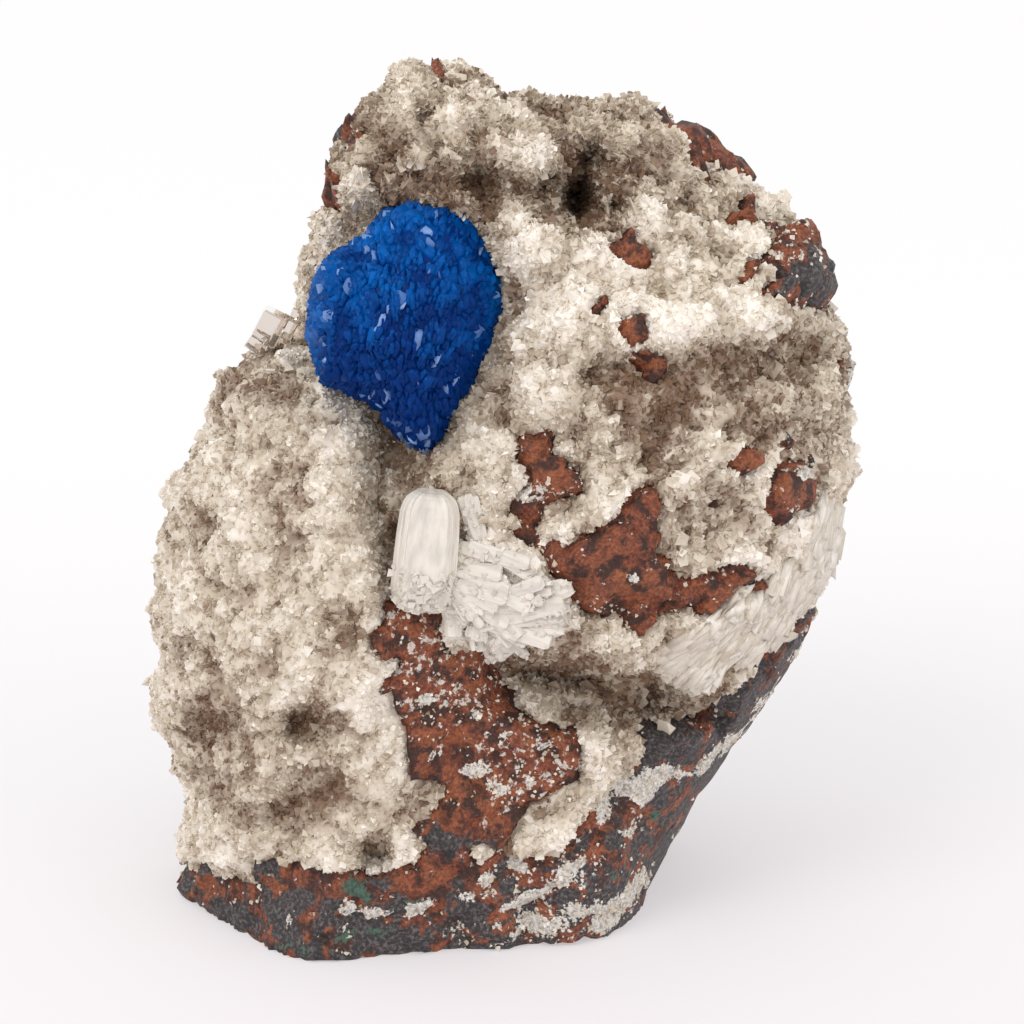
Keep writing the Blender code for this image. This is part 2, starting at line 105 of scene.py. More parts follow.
# Silhouette of the display face. Its lower points lie under the base, where the flat cut takes them off.
FACE_OUTLINE = (
    (432, 62), (475, 74), (510, 93), (548, 104), (590, 95), (640, 92), (690, 120), (726, 147),
    (760, 192), (808, 221), (830, 250), (834, 315), (854, 355), (848, 420), (846, 500), (832, 580),
    (808, 640), (772, 700), (735, 750), (700, 800), (672, 850), (655, 885), (647, 911), (637, 943),
    (620, 995), (591, 1030), (550, 1040), (513, 1063), (432, 1101), (357, 1137), (265, 1206),
    (195, 1225), (212, 1080), (223, 974), (209, 917), (179, 878), (183, 820), (186, 790), (163, 755),
    (151, 705), (158, 655), (153, 610), (160, 550), (171, 490), (208, 430), (224, 374), (255, 350),
    (303, 335), (306, 245), (322, 200), (334, 145), (362, 105), (397, 72),
)  # fmt: skip

# Broken faces of the back: which way each looks, in the face frame, and its distance from the middle
BREAKS = (
    ((0.08, 0.25, -1.0), 15.4),
    ((-0.62, 0.15, -0.8), 18.6),
    ((0.62, -0.2, -0.78), 19.4),
    ((0.15, 0.85, -0.6), 30.0),
    ((-0.25, -0.5, -0.85), 21.5),
    ((0.75, 0.5, -0.45), 27.5),
)  # fmt: skip

# Places where the crust is open and the basalt shows, the large ones
ROCK_OPENINGS = (
    # lower middle
    ((400, 598), (425, 600), (440, 632), (462, 655), (500, 680), (518, 712), (535, 730), (578, 735),
     (583, 760), (575, 785), (556, 800), (540, 820), (510, 844), (476, 860), (460, 900), (420, 900),
     (410, 858), (412, 838), (432, 815), (430, 790), (412, 775), (408, 750), (400, 725), (375, 700),
     (392, 668), (375, 655), (372, 640), (390, 625), (385, 608)),
    # right of middle
    ((548, 545), (590, 538), (625, 525), (636, 498), (655, 490), (662, 508), (655, 530), (668, 575),
     (700, 578), (768, 572), (762, 582), (735, 600), (700, 612), (660, 618), (650, 630), (590, 622),
     (572, 592), (556, 592)),
    # middle
    ((518, 434), (542, 434), (540, 452), (556, 470), (582, 472), (578, 492), (560, 505), (535, 518),
     (518, 510), (526, 470)),
    # right shoulder
    ((780, 225), (800, 222), (822, 235), (900, 262), (900, 295), (800, 302), (765, 290), (785, 262),
     (772, 245)),
    # top edge
    ((640, 60), (652, 98), (675, 112), (668, 128), (690, 148), (720, 162), (748, 178), (800, 160),
     (730, 80)),
    # band above the base and along the lower right edge
    ((100, 862), (185, 876), (215, 882), (245, 897), (262, 905), (270, 893), (252, 868), (290, 876),
     (328, 888), (345, 878), (372, 882), (412, 868), (470, 868), (520, 864), (562, 856), (593, 846),
     (602, 824), (622, 802), (638, 785), (636, 768), (650, 748), (646, 735), (680, 732), (722, 722),
     (735, 690), (765, 668), (790, 645), (812, 610), (828, 596), (900, 590), (900, 1300), (100, 1300)),
)  # fmt: skip

# Small openings of the crust, each a trace of a few points
SMALL_OPENINGS = (
    ((610, 243), (628, 240), (633, 225), (642, 240), (652, 250), (640, 262), (634, 268), (624, 254)),
    ((600, 285), (619, 283), (612, 300), (600, 313)),
    ((620, 310), (636, 314), (650, 330), (640, 334), (626, 322)),
    ((638, 350), (652, 356), (668, 350), (675, 368), (668, 381), (655, 376)),
    ((728, 286), (738, 274), (757, 268), (756, 278), (742, 282)),
    ((732, 212), (746, 205), (756, 212), (766, 224), (742, 222)),
    ((712, 476), (722, 462), (745, 455), (768, 454), (758, 470), (740, 481), (728, 468)),
    ((767, 478), (780, 461), (801, 455), (820, 464), (825, 485), (815, 507), (794, 515), (771, 506)),
    ((832, 362), (840, 360), (848, 366), (844, 374), (834, 373)),
    ((786, 440), (802, 438), (808, 445), (794, 447)),
    ((316, 178), (328, 168), (340, 184), (332, 202), (318, 206)),
    ((334, 128), (350, 122), (356, 134), (342, 142)),
    ((432, 56), (446, 60), (448, 70), (438, 74), (430, 66)),
    ((522, 534), (530, 536), (534, 546), (524, 544)),
    ((492, 596), (502, 594), (504, 603), (494, 604)),
    ((716, 500), (726, 502), (724, 512), (714, 508)),
    ((728, 334), (748, 336), (744, 342), (726, 340)),
    ((224, 348), (244, 343), (252, 349), (234, 356)),
)  # fmt: skip

# Swells and hollows of the display face: middle, half-sizes and turn of each, and its height in mm
RELIEF = (
    (285, 640, 130, 240, 0, 3.0),
    (440, 145, 110, 90, 0, 2.0),
    (640, 480, 200, 170, -35, 2.5),
    (402, 322, 108, 130, 10, -6.5),
    (396, 505, 32, 95, 6, -5.0),
    (577, 207, 20, 24, 25, -8.0),
    (592, 176, 20, 26, -10, -5.0),
    (606, 214, 14, 12, 0, -2.5),
    (553, 205, 32, 26, 0, -3.0),
    (490, 195, 28, 22, 0, -2.5),
    (450, 183, 50, 16, 0, -2.0),
    (435, 105, 45, 40, 0, 1.2),
    (517, 155, 36, 32, 0, 2.2),
    (530, 240, 40, 40, 0, 2.6),
    (385, 170, 40, 36, 0, 1.0),
    (640, 150, 60, 45, 0, 1.8),
    (665, 325, 24, 24, 0, 1.0),
    (612, 372, 40, 18, 15, -2.0),
    (760, 362, 120, 28, 8, -2.0),
    (592, 692, 112, 32, -6, -5.0),
    (540, 668, 62, 15, -10, -3.5),
    (625, 634, 85, 22, 8, 1.6),
    (350, 660, 36, 120, 0, 1.2),
    (655, 688, 20, 18, 0, -3.0),
    (310, 722, 26, 22, 0, -3.5),
    (375, 850, 18, 18, 0, -3.8),
    (300, 795, 50, 28, 20, -2.0),
    (205, 728, 28, 20, 0, -1.6),
    (238, 378, 30, 18, 0, -2.0),
    (480, 740, 110, 100, 0, -1.2),
)  # fmt: skip

# Where the crust reaches further over the edge to the back, and how much in mm
OVERHANG = ((505, 78, 110, 45, 0, 3.5),)

# Straight trimmed edge at the lower right, where the basalt is smooth: middle, half-sizes, turn and share,
# and how much further out it stands in mm
TRIMMED = ((733, 752, 215, 48, 59, 1.0),)
TRIM_RISE = 0.3

# Ledge of basalt that stands out at the lower left
LEDGE = ((205, 905, 75, 45, -35, 0.8),)

# Slanting bands of the right lobe: their middle and turn, their spacing, height and reach in mm, and how
# many times as long as wide they are
BAND_MIDDLE = (680, 430)
BAND_TURN = 32
BAND_SPACING = 3.6
BAND_HEIGHT = 1.3
BAND_STRETCH = 3.2
BAND_REACH = (20.0, 15.0)

# Lumps of the crust and the basalt: spacing and height in mm of each size, and the seed of its noise
CRUST_LUMPS = ((5.6, 1.6, 21), (2.9, 0.9, 21))
FINE_CRUST_LUMPS = ((1.6, 0.8, 27), (0.8, 0.35, 27))
ROCK_LUMPS = ((7.5, 0.9, 31), (3.0, 0.5, 31), (1.9, 0.85, 31), (0.95, 0.45, 31))

# Highest that a lump of basalt stands
ROCK_TOP = 0.8

# Wander of the crust's edge on the face and behind the rim, and its fine teeth: spacing, height and seed
EDGE_WANDER = ((2.2, 0.7, 11),)
REAR_WANDER = ((8.0, 2.6, 14), (3.0, 1.2, 15))
EDGE_TEETH = ((1.6, 0.55, 13), (0.9, 0.65, 12))

# Ragged outline of the white and green fillings
FILLING_TEETH = ((1.1, 0.35, 95), (0.55, 0.2, 96))

# Deepest that a pit goes and how far a white filling stands out, in mm
PIT_DEPTH = 0.5
FILLING_RISE = 0.15

# Round pits: spacing and radius in mm, seed, and share of the places that have one
VESICLES = (3.0, 0.7, 51, 0.5)
AMYGDULES = (4.6, 1.0, 61, 0.3)
GREEN_PITS = (7.0, 0.6, 71, 0.3)

# Traced spots shrink towards the sides: how much for each mm, and from how far in front of the rim. The
# pits and veins of the back shrink in front: how much in mm.
SPOT_FADE = (0.3, 4)
FRONT_FADE = {"amygdules": 2, "veins": 3, "green": 1}

# Hairline veins of the back: spacing and seed of the noise that they follow where it crosses zero,
# half-width, how fast they end beside it, and how they break up, all in mm
VEIN_NOISE = (14, 83)
VEIN_HALF_WIDTH = 0.35
VEIN_FALL = 7
VEIN_BREAKS = ((4.0, 0.5, 84),)

# Mottled rust of the front, and of the back with what is taken off there
FRONT_RUST = ((4.5, 0.3, 81),)
BACK_RUST = ((11.0, 0.6, 82),)
BACK_GREY = 0.15

# Mottled colour of the crust, and how much paler each mm of a lump's height makes it: painted light on the
# lumps' tops and painted shade in the creases between them
TONE_MIDDLE = 0.42
TONE_PATCHES = ((5.0, 0.1, 91),)
TONE_SPECKS = ((2.3, 0.24, 92), (1.1, 0.26, 93))
LUMP_PAINTED_SHADE = 0.32

# The left lobe's crust is calmer: how much of the lumps' height it loses
CALM = ((285, 640, 150, 270, 0, 0.4), (450, 140, 160, 120, 0, -0.25))

# How far in mm the crust's sheet lies under the tips of its crystals, the width of the step down into an
# opening, and over how far from an opening its lumps fade to a share of their height
CRYSTAL_REACH = 0.45
EDGE_STEP = 0.6
EDGE_FADE = 1.6
EDGE_SHARE = 0.3

# Share of the lumps' height that the crust loses on the smooth seam and inside an opening, and that the
# basalt loses along its trimmed edge
SEAM_CALM = 0.7
OPENING_CALM = 0.7
TRIMMED_CALM = 0.85

# The crust's sheet is left out where it would lie further than this under the basalt, and is this thick
SHEET_OVERLAP = 0.15
SHEET_DEPTH = 0.5

# Smooth seam of long crystals at the lower right, and the way they run across and up the face
SEAM = (
    (769, 572), (740, 594), (696, 624), (672, 634), (660, 652), (672, 680), (696, 692), (720, 682),
    (740, 667), (760, 661), (788, 644), (792, 628), (808, 606), (826, 589), (840, 560), (860, 516),
    (830, 500), (808, 512), (804, 530), (800, 564), (780, 570),
)  # fmt: skip
SEAM_RUN = (0.5, 0.87)

# Half-sizes in millimetres of the box whose grid is drawn round to the body
GRID_BOX = (27.0, 33.0, 19.0)

# Colour swells of the crust, from 0 for white through 0.5 for grey beige to 1 for brown: middle,
# half-sizes, turn and how much each adds. Some give a region its own colour; those over the pits, grooves,
# slit and hollows of the relief add painted shade, and those over its lumps take off as painted light.
TONES_AND_PAINTED_SHADE = (
    (280, 620, 170, 300, 0, 0.05),
    (440, 150, 140, 110, 0, 0.22),
    (340, 225, 40, 50, 20, -0.1),
    (455, 190, 90, 26, 0, 0.35),
    (585, 196, 40, 50, 0, 0.6),
    (775, 385, 90, 50, 0, 0.12),
    (600, 645, 50, 20, 0, 0.15),
    (565, 120, 45, 35, 0, 0.25),
    (640, 150, 60, 55, 0, 0.15),
    (517, 155, 30, 26, 0, -0.4),
    (430, 110, 45, 30, 0, -0.1),
    (530, 240, 38, 38, 0, -0.25),
    (400, 480, 40, 90, 5, 0.3),
    (690, 300, 120, 90, 0, -0.15),
    (740, 372, 130, 36, 8, 0.36),
    (610, 380, 60, 26, 10, 0.3),
    (560, 380, 60, 60, 0, 0.05),
    (640, 420, 90, 40, 30, 0.15),
    (700, 520, 60, 40, 10, 0.15),
    (780, 590, 100, 50, 40, -0.25),
    (665, 325, 26, 26, 0, -0.5),
    (610, 690, 110, 26, -6, 0.35),
    (600, 645, 55, 26, 0, 0.35),
    (705, 420, 90, 30, 10, 0.2),
    (650, 440, 40, 60, 0, 0.1),
    (300, 740, 130, 130, 0, 0.11),
    (520, 668, 60, 14, -12, 0.5),
    (655, 688, 18, 18, 0, 0.5),
    (380, 690, 30, 60, 0, -0.25),
    (330, 860, 70, 25, 0, -0.25),
    (310, 724, 26, 20, 0, 0.6),
    (205, 730, 30, 20, 0, 0.3),
    (300, 800, 55, 30, 20, 0.35),
    (375, 850, 17, 17, 0, 0.6),
    (240, 380, 40, 26, 0, 0.35),
    (620, 650, 60, 18, 0, -0.2),
    (600, 790, 50, 50, 0, -0.3),
    (500, 835, 50, 20, 0, -0.25),
)  # fmt: skip

# White amygdules and vein pieces in the basalt: middle, half-sizes and turn of each
WHITE_SPOTS = (
    (370, 915, 25, 7, 2), (420, 910, 17, 7, 16), (290, 918, 7, 5, -20), (485, 882, 12, 5, -10),
    (470, 896, 7, 3, 0), (498, 920, 10, 5, 20), (455, 937, 6, 3, 0), (530, 900, 34, 11, 20),
    (560, 880, 20, 10, 30), (585, 905, 26, 9, -10), (540, 925, 26, 8, 5), (600, 920, 20, 8, 25),
    (620, 900, 24, 10, 40), (640, 885, 14, 8, 50), (505, 935, 12, 5, 0), (575, 868, 12, 5, 20),
    (520, 872, 12, 6, 10), (325, 935, 9, 3, 0), (640, 795, 30, 9, 18), (610, 812, 18, 10, 45),
    (665, 780, 22, 7, 20), (630, 830, 8, 4, 0), (725, 748, 22, 5, 38), (705, 765, 14, 5, 40),
    (770, 700, 20, 4, 45), (800, 655, 12, 4, 55), (470, 770, 14, 8, 20), (495, 785, 12, 7, 0),
    (505, 735, 9, 6, 30), (440, 752, 9, 5, -20), (425, 700, 8, 6, 0), (480, 712, 12, 4, 0),
    (545, 745, 8, 5, 0), (530, 782, 8, 5, 40), (565, 765, 7, 5, 0), (800, 474, 10, 7, 0),
    (630, 575, 5, 4, 0), (527, 492, 8, 9, 0), (630, 318, 5, 3, 0), (790, 262, 8, 4, 0),
)  # fmt: skip

# Green celadonite pits in the basalt
GREEN_SPOTS = (
    (357, 892, 15, 9, -20), (345, 942, 15, 5, 0), (375, 938, 13, 5, 0), (288, 941, 8, 6, 20),
    (305, 946, 6, 4, 0), (625, 845, 5, 4, 0), (657, 818, 5, 4, 0), (612, 870, 4, 3, 0),
    (410, 902, 9, 4, 10),
)  # fmt: skip

# Soft regions of rust colour on the basalt, from grey at 0 to rust red at 1
RUSTS = (
    (440, 700, 130, 130, 0, 1.0),
    (520, 770, 110, 70, 0, 0.7),
    (640, 570, 130, 90, 0, 1.1),
    (545, 475, 70, 70, 0, 1.1),
    (800, 235, 50, 30, 0, 0.9),
    (795, 275, 40, 26, 0, -0.5),
    (700, 140, 90, 60, 30, 0.9),
    (630, 250, 60, 60, 0, 0.9),
    (640, 330, 70, 60, 0, 0.9),
    (745, 250, 50, 70, 0, 0.9),
    (740, 468, 50, 40, 0, 0.75),
    (797, 483, 50, 45, 0, 0.55),
    (840, 366, 30, 30, 0, 0.9),
    (330, 170, 40, 60, 0, 0.9),
    (250, 350, 60, 30, 0, 0.8),
    (440, 64, 24, 16, 0, 1.2),
    (460, 840, 60, 30, 0, -0.5),
    (660, 760, 60, 40, 0, -0.4),
    (330, 885, 90, 22, 5, 0.35),
    (420, 880, 90, 20, 0, 0.3),
    (200, 890, 50, 25, 20, 0.35),
)  # fmt: skip

# Soft regions of the bare basalt that are dusted with pale crystals
DUSTS = (
    (530, 765, 62, 48, 20, 0.8),
    (445, 690, 60, 50, 0, 0.62),
    (425, 625, 45, 35, 0, 0.7),
    (540, 495, 26, 16, 0, 0.9),
    (640, 610, 70, 20, 0, 0.25),
    (560, 900, 90, 50, 0, 0.35),
    (790, 240, 40, 40, 0, 0.4),
)  # fmt: skip

# Cavansite ball
BALL_OUTLINE = (
    (312, 312), (318, 282), (332, 262), (352, 250), (372, 236), (388, 218), (415, 204), (442, 206),
    (466, 208), (480, 228), (492, 250), (503, 285), (501, 320), (494, 345), (480, 372), (464, 400),
    (447, 424), (436, 450), (418, 452), (400, 438), (388, 415), (368, 402), (345, 394), (326, 386),
    (319, 362), (312, 340),
)  # fmt: skip
BALL_MIDDLE = (408, 322)
BALL_LIFT = 2.6
BALL_DEPTH = 7.4

# Upright stilbite crystal
COLUMN_FOOT = (424, 598)
COLUMN_HEAD = (434, 492)
COLUMN_LIFTS = (1.2, 1.6)
COLUMN_HALF_WIDTH = 2.45
COLUMN_HALF_DEPTH = 1.9

# Stilbite fan: foot and tip of each bundle of blades, how far each end stands off the body, and half-width
FAN_BUNDLES = (
    ((448, 588), (508, 598), 0.6, 1.8, 1.3),
    ((450, 600), (500, 612), 0.8, 1.6, 1.1),
    ((456, 572), (505, 585), 0.6, 1.4, 1.2),
    ((468, 560), (512, 556), 0.2, 0.8, 0.9),
    ((470, 548), (528, 574), 0.4, 1.2, 0.9),
    ((480, 552), (545, 585), 0.2, 1.0, 1.0),
    ((492, 606), (568, 597), 1.4, 2.0, 1.1),
    ((490, 612), (566, 611), 1.5, 2.2, 1.1),
    ((492, 618), (560, 626), 1.4, 2.2, 1.1),
    ((488, 615), (546, 641), 1.2, 2.2, 1.1),
    ((484, 615), (525, 652), 1.0, 2.2, 1.0),
    ((480, 612), (504, 655), 0.8, 2.0, 1.0),
    ((474, 608), (486, 645), 0.6, 1.8, 0.9),
    ((500, 590), (545, 592), 1.0, 2.4, 1.0),
    ((500, 600), (540, 606), 1.6, 2.9, 1.0),
    ((470, 590), (520, 630), 1.0, 2.6, 1.1),
    ((452, 598), (468, 634), 0.6, 1.6, 1.0),
    ((450, 590), (480, 620), 1.2, 2.2, 1.1),
    ((480, 548), (475, 508), 0.0, 0.9, 0.7),
)

# Clear blocky crystals: middle, lift off the body, half-sizes in mm and turn of each
BLOCKS = (
    ((273, 329), 0.9, (1.05, 1.25, 1.0), (14, 27)),
    ((288, 330), 0.4, (0.7, 0.9, 0.8), (10, 30)),
    ((300, 336), 0.5, (0.75, 1.1, 0.9), (6, 25)),
    ((282, 345), 1.0, (0.8, 0.8, 0.8), (20, 22)),
    ((258, 345), 0.9, (0.6, 0.6, 0.6), (12, 34)),
    ((298, 318), 0.1, (0.5, 0.6, 0.5), (8, 20)),
)

# How far in mm inside the outlines of the ball and the seam the small crystals end
BALL_COVER = 0.7
SEAM_COVER = 0.2

# Lines in picture units that part the upper lobe from the lower ones and the left from the right: where
# each lies, over how far one fades into the other, and the middle and slope of the upper one's sides
UPPER_LINE = SimpleNamespace(lies=290, fade=40, middle=470, slope=0.35)
LEFT_LINE = SimpleNamespace(lies=410, fade=30)

# Seeds of each piece's random numbers
SEEDS = {"strays": 200, "seam": 300, "ball": 7, "stilbite": 12, "apophyllite": 3}

# Stretches of the druse: the size, thinness and length of their crystals beside the usual, and how far
# they lean from upright on the crust. Each stretch has random numbers of its own from a seed.
STRETCHES = {
    "upper": (0.9, 0.42, 1.1, 0.7),
    "left": (1.0, 0.9, 0.5, 0.5),
    "right": (1.15, 0.75, 0.65, 0.75),
}
STRETCH_SEED = 100

# Small crystals: spread of their widths, narrowest and widest half-width in mm, how far they spread from
# upright for a lean of one, what is added to their length, and the share of it that is sunk
WIDTH_SPREAD = 0.34
HALF_WIDTHS = (0.09, 0.6)
LEAN_SPREAD = 0.6
EXTRA_LENGTH = 0.3
SUNK_SHARE = 0.4

# How far the corners of a crystal are moved at random, as a share of its half-width, half-thickness and
# length, and the least and greatest share of the usual thickness
CORNER_STRAY = 0.16 * np.array([1, 1, 0.6])
THICKNESS_SPREAD = (0.75, 1.2)

# Spread of the widths of the seam's crystals and of the ball's blades
BROAD_SPREAD = 0.3

# Larger crystals are this much wider than the usual, and crystals differ in colour by this much
LARGE_GROWTH = 1.3
TONE_SPREAD = 0.13
DRUSE_TRANSMISSION = 0.06

# Strays: their form beside the usual, and their colour and its spread. Then how thick they lie along the
# crust's edge, in clusters, on the fillings and where the basalt is dusted, and the share of that which
# is left behind. Clusters come from a noise with this spacing and seed.
STRAY_FORM = (0.7, 0.85, 0.5, 0.9)
STRAY_TONE = (0.4, 0.2)
STRAY_SHARES = {"edge": 0.22, "clusters": 0.4, "fillings": 0.9, "dusted": 0.5, "behind": 0.1}
STRAY_CLUSTERS = (1.5, 97)

# Long crystals of the seam: half-width, least and greatest length and height off the crust in mm, how far
# they stray from its run, and their colour and its spread
SEAM_HALF_WIDTH = 0.34
SEAM_LENGTHS = (1.2, 3.2)
SEAM_HEIGHTS = (-0.15, 0.08)
SEAM_STRAY = 0.05
SEAM_TONE = (0.22, 0.1)

# Blades of the ball: half-width, least and greatest length, the tips' unevenness and how far clumps of
# them stand out, all in mm. Then the number of clumps, how strongly their blades fan out, and how far
# blades stray in place and in direction.
BLADE_HALF_WIDTH = 0.43
BLADE_LENGTHS = (1.5, 2.1)
BLADE_TIPS = (-0.11, 0.13)
CLUMP_RISE = 0.2
CLUMP_COUNT = 190
CLUMP_FAN = 1.8
WAY_STRAY = 0.02
AXIS_STRAY = 0.13

# Core of the ball: spacing of its grid and its depth under the blades' tips, in mm
CORE_STEP = 2.2
CORE_DEPTH = 0.45

# Noises over the ball, a ball 14 units across: spacing and seed of the one that lifts clumps and paints
# them lighter as painted light, and of the one that groups the blades with painted glints
BALL_GRAIN = 7
CLUMP_NOISE = (1.5, 5)
PALE_NOISE = (1.0, 6)

# Blades with painted glints of pale blue: the level of their noise above which they stand in groups, how
# low the tail begins, the share of blades that have a glint in a group and elsewhere, how pale they are at
# least and at most, how far in mm they stand out, and how much thinner they are
PALE_LEVEL = 0.42
PALE_TAIL = -0.93
PALE_SHARES = (0.3, 0.008)
PALE_RANGE = (0.2, 1.0)
PALE_RISE = 0.1
PALE_THIN = 0.2

# Colour of the blades, from 0 for deep to 1 for blue, the deep end being partly painted shade: its middle,
# what the height up the ball adds as painted light from above, what a clump adds as painted light on its
# raised blades, its spread, and what the left rim adds as painted light from the left
BLADE_SHADE = SimpleNamespace(middle=0.14, up=0.42, clump=0.4, spread=0.12, rim=0.8)

# Laths of the fan: steps cut into each side, ribs, least and greatest half-thickness in mm, least and
# greatest share of the bundle's half-width, and for the foot and the tip how far they stray from the
# bundle's in picture units and how deep in mm they may be sunk
FAN_PROFILE = 2
FAN_RIBS = 0.04
FAN_HALF_DEPTHS = (0.1, 0.26)
FAN_SHARES = (0.2, 0.7)
FOOT_STRAY, TIP_STRAY = (-9, 9), (-14, 5)
FOOT_SUNK, TIP_SUNK = 0.8, 0.9

# Upright crystal: steps cut into each side, its ribs, and how high in mm small crystals cover its foot
COLUMN_PROFILE = 16
COLUMN_RIBS = 0.012
COLLAR_HEIGHT = 1.9

# Form and usual width of the small crystals at the upright crystal's foot and on the fan
COLLAR_FORM = (1.1, 0.8, 0.5, 0.7)
COLLAR_SIZE = 0.36
SUGAR_FORM = (1.0, 0.6, 0.5, 0.8)
SUGAR_SIZE = 0.32

# Range of places along the pattern of streaks, so that each crystal has its own, and ribs a width
GRAIN_RANGE = 90
GRAIN_WIDTH = 3.0

# Width of each crystal at shares of its length, from foot to tip
COLUMN_RISE = (
    (-0.06, 0.6), (0.0, 0.9), (0.08, 1.0), (0.3, 1.0), (0.6, 0.97), (0.82, 0.92), (0.9, 0.84), (0.95, 0.74),
    (0.985, 0.6), (1.0, 0.46),
)  # fmt: skip
BLADE_RISE = ((-0.1, 0.75), (0.0, 0.8), (0.5, 0.95), (0.94, 1.0), (1.0, 0.72))
BLOCK_RISE = ((0.0, 0.88), (0.05, 1.0), (0.95, 1.0), (1.0, 0.88))

# Corners of the outline of a lath and of a square block, seen along its length
LATH_SIDES = ((1, 0.1), (0.62, 1), (-0.62, 1), (-1, 0.1), (-0.7, -1), (0.7, -1))
BLOCK_SIDES = ((1, 0.9), (0.9, 1), (-0.9, 1), (-1, 0.9), (-1, -0.9), (-0.9, -1), (0.9, -1), (1, -0.9))

# Sockets of a colour mix node: its share, its first and second colour, and the result. Sockets of a range
# node: its value, the low and high end of the values read, and what they become.
SHARE, UNDER, OVER, MIXED = 0, 6, 7, 2
VALUE, LOW, HIGH, LOW_BECOMES, HIGH_BECOMES = range(5)

# Stage: half the floor's width in metres, its own light, the light of the room, the camera's sensor in mm,
# and how far out from the middle of the face, in mm, the camera aims
FLOOR_REACH = 3.0
PAPER_GLOW = 0.95
ROOM_LIGHT = 0.93
SENSOR_WIDTH = 36.0
AIM_OUT = 8.0

# Lights: name, place in metres, power in watts and width in metres
LIGHTS = (
    ("key", (-0.28, -0.42, 0.62), 1.6, 0.34),
    ("fill", (0.5, -0.5, 0.4), 0.6, 0.5),
)


def linear(hex_colour):
    """Turns an sRGB hex colour into linear red, green, blue and a full alpha."""
    parts = [int(hex_colour[at : at + 2], 16) / 255 for at in (1, 3, 5)]
    light = [part / 12.92 if part <= 0.04045 else ((part + 0.055) / 1.055) ** 2.4 for part in parts]
    return (*light, 1.0)


def colour_setting(name, description, hex_colour):
    """A colour that the user can change, from its sRGB hex value."""
    return FloatVectorProperty(
        name=name, description=description, subtype="COLOR", size=4, default=linear(hex_colour)
    )


class BasaltLook(bpy.types.PropertyGroup):
    """Sizes and colours of the basalt."""

    step: FloatProperty(
        name="Grid step", description="Spacing of the basalt's grid in mm", default=0.46, min=0.2
    )
    grey: colour_setting("Grey", "Fresh basalt", "#423b3c")
    rust: colour_setting("Rust", "Weathered basalt", "#84452e")
    # Burnt is the darkest rust and also the painted shade in the hollows of the bump; ochre is the brightest
    # rust and also the painted highlight on its high grains
    burnt_and_shade: colour_setting("Burnt", "Darkest rust", "#45281f")
    ochre_and_highlight: colour_setting("Ochre", "Brightest rust", "#a05c3a")
    feldspar: colour_setting("Feldspar", "Pale grains of the fresh basalt", "#76706f")
    white: colour_setting("Amygdules", "White fillings and veins", "#e9e3da")
    green: colour_setting("Celadonite", "Green pits", "#4f6a5c")


class DruseLook(bpy.types.PropertyGroup):
    """Sizes and colours of the druse."""

    step: FloatProperty(
        name="Grid step", description="Spacing of the crust's grid in mm", default=0.62, min=0.2
    )
    crystals: IntProperty(name="Sugar crystals", description="Small crystals on each lobe", default=22500)
    large: IntProperty(name="Large crystals", description="Larger crystals on each lobe", default=350)
    strays: IntProperty(name="Strays", description="Small crystals left on the bare basalt", default=2600)
    seam: IntProperty(name="Seam", description="Long crystals of the smooth seam", default=1700)
    size: FloatProperty(name="Crystal size", description="Usual crystal width in mm", default=0.33, min=0.1)
    white: colour_setting("White", "Palest crystals", "#fbf3e8")
    beige: colour_setting("Grey beige", "Most of the crust", "#d6c8b4")
    # The brown is the crust's stain and also the painted shade of its creases, pits and hollows
    brown_and_crease_shade: colour_setting("Brown", "Stained crust in the creases", "#896e59")


class CavansiteLook(bpy.types.PropertyGroup):
    """Sizes and colours of the cavansite ball."""

    blades: IntProperty(name="Blades", description="Radiating blades of the ball", default=3600)
    blue: colour_setting("Blue", "Cavansite blue", "#0068c0")
    # The deep blue is the blades' own darker blue and the painted shade on the core between them; the pale
    # blue is painted glints
    deep: colour_setting("Deep blue", "Between the blades", "#002f74")
    pale: colour_setting("Pale streaks", "Blades coated pale", "#8fb0e6")


class StilbiteLook(bpy.types.PropertyGroup):
    """Sizes and colours of the large white crystals."""

    blades: IntProperty(name="Blades", description="Laths in each bundle of the fan", default=7)
    sugar: IntProperty(name="Sugar", description="Small crystals on the fan", default=1600)
    collar: IntProperty(name="Collar", description="Crystals at the upright crystal's foot", default=420)
    white: colour_setting("White", "Pearly stilbite", "#f1e9de")


class StageLook(bpy.types.PropertyGroup):
    """Floor, light and camera."""

    distance: FloatProperty(
        name="Camera distance", description="From the specimen", default=0.8, unit="LENGTH"
    )
    near: colour_setting("Near floor", "Floor in front", "#b4b0b2")
    far: colour_setting("Far floor", "Floor behind", "#b9b8b8")


def lean(points):
    """Turns face-frame millimetres into upright metres, with the base at zero height."""
    across, up, out = np.asarray(points, float).T
    rise, run = math.cos(FACE_LEAN), math.sin(FACE_LEAN)
    upright = (across + CENTRE_SHIFT[0], up * run - out * rise + CENTRE_SHIFT[1], up * rise + out * run)
    return np.stack(upright, axis=1) * METRE


def hashed(cells, seed):
    """Gives one repeatable number from 0 to 1 for each whole-number cell, by mixing its three numbers
    with large primes."""
    x, y, z = (cells[:, axis].astype(np.int64).astype(np.uint64) for axis in range(3))
    mixed = x * np.uint64(73856093) ^ y * np.uint64(19349663) ^ z * np.uint64(83492791)
    mixed ^= np.uint64(seed * 2654435761)
    for shift, factor in ((15, 2246822519), (13, 3266489917), (16, 668265263)):
        mixed = (mixed ^ (mixed >> np.uint64(shift))) * np.uint64(factor) & np.uint64(0xFFFFFFFF)
    return (mixed ^ (mixed >> np.uint64(14))).astype(float) % 65536 / 65535


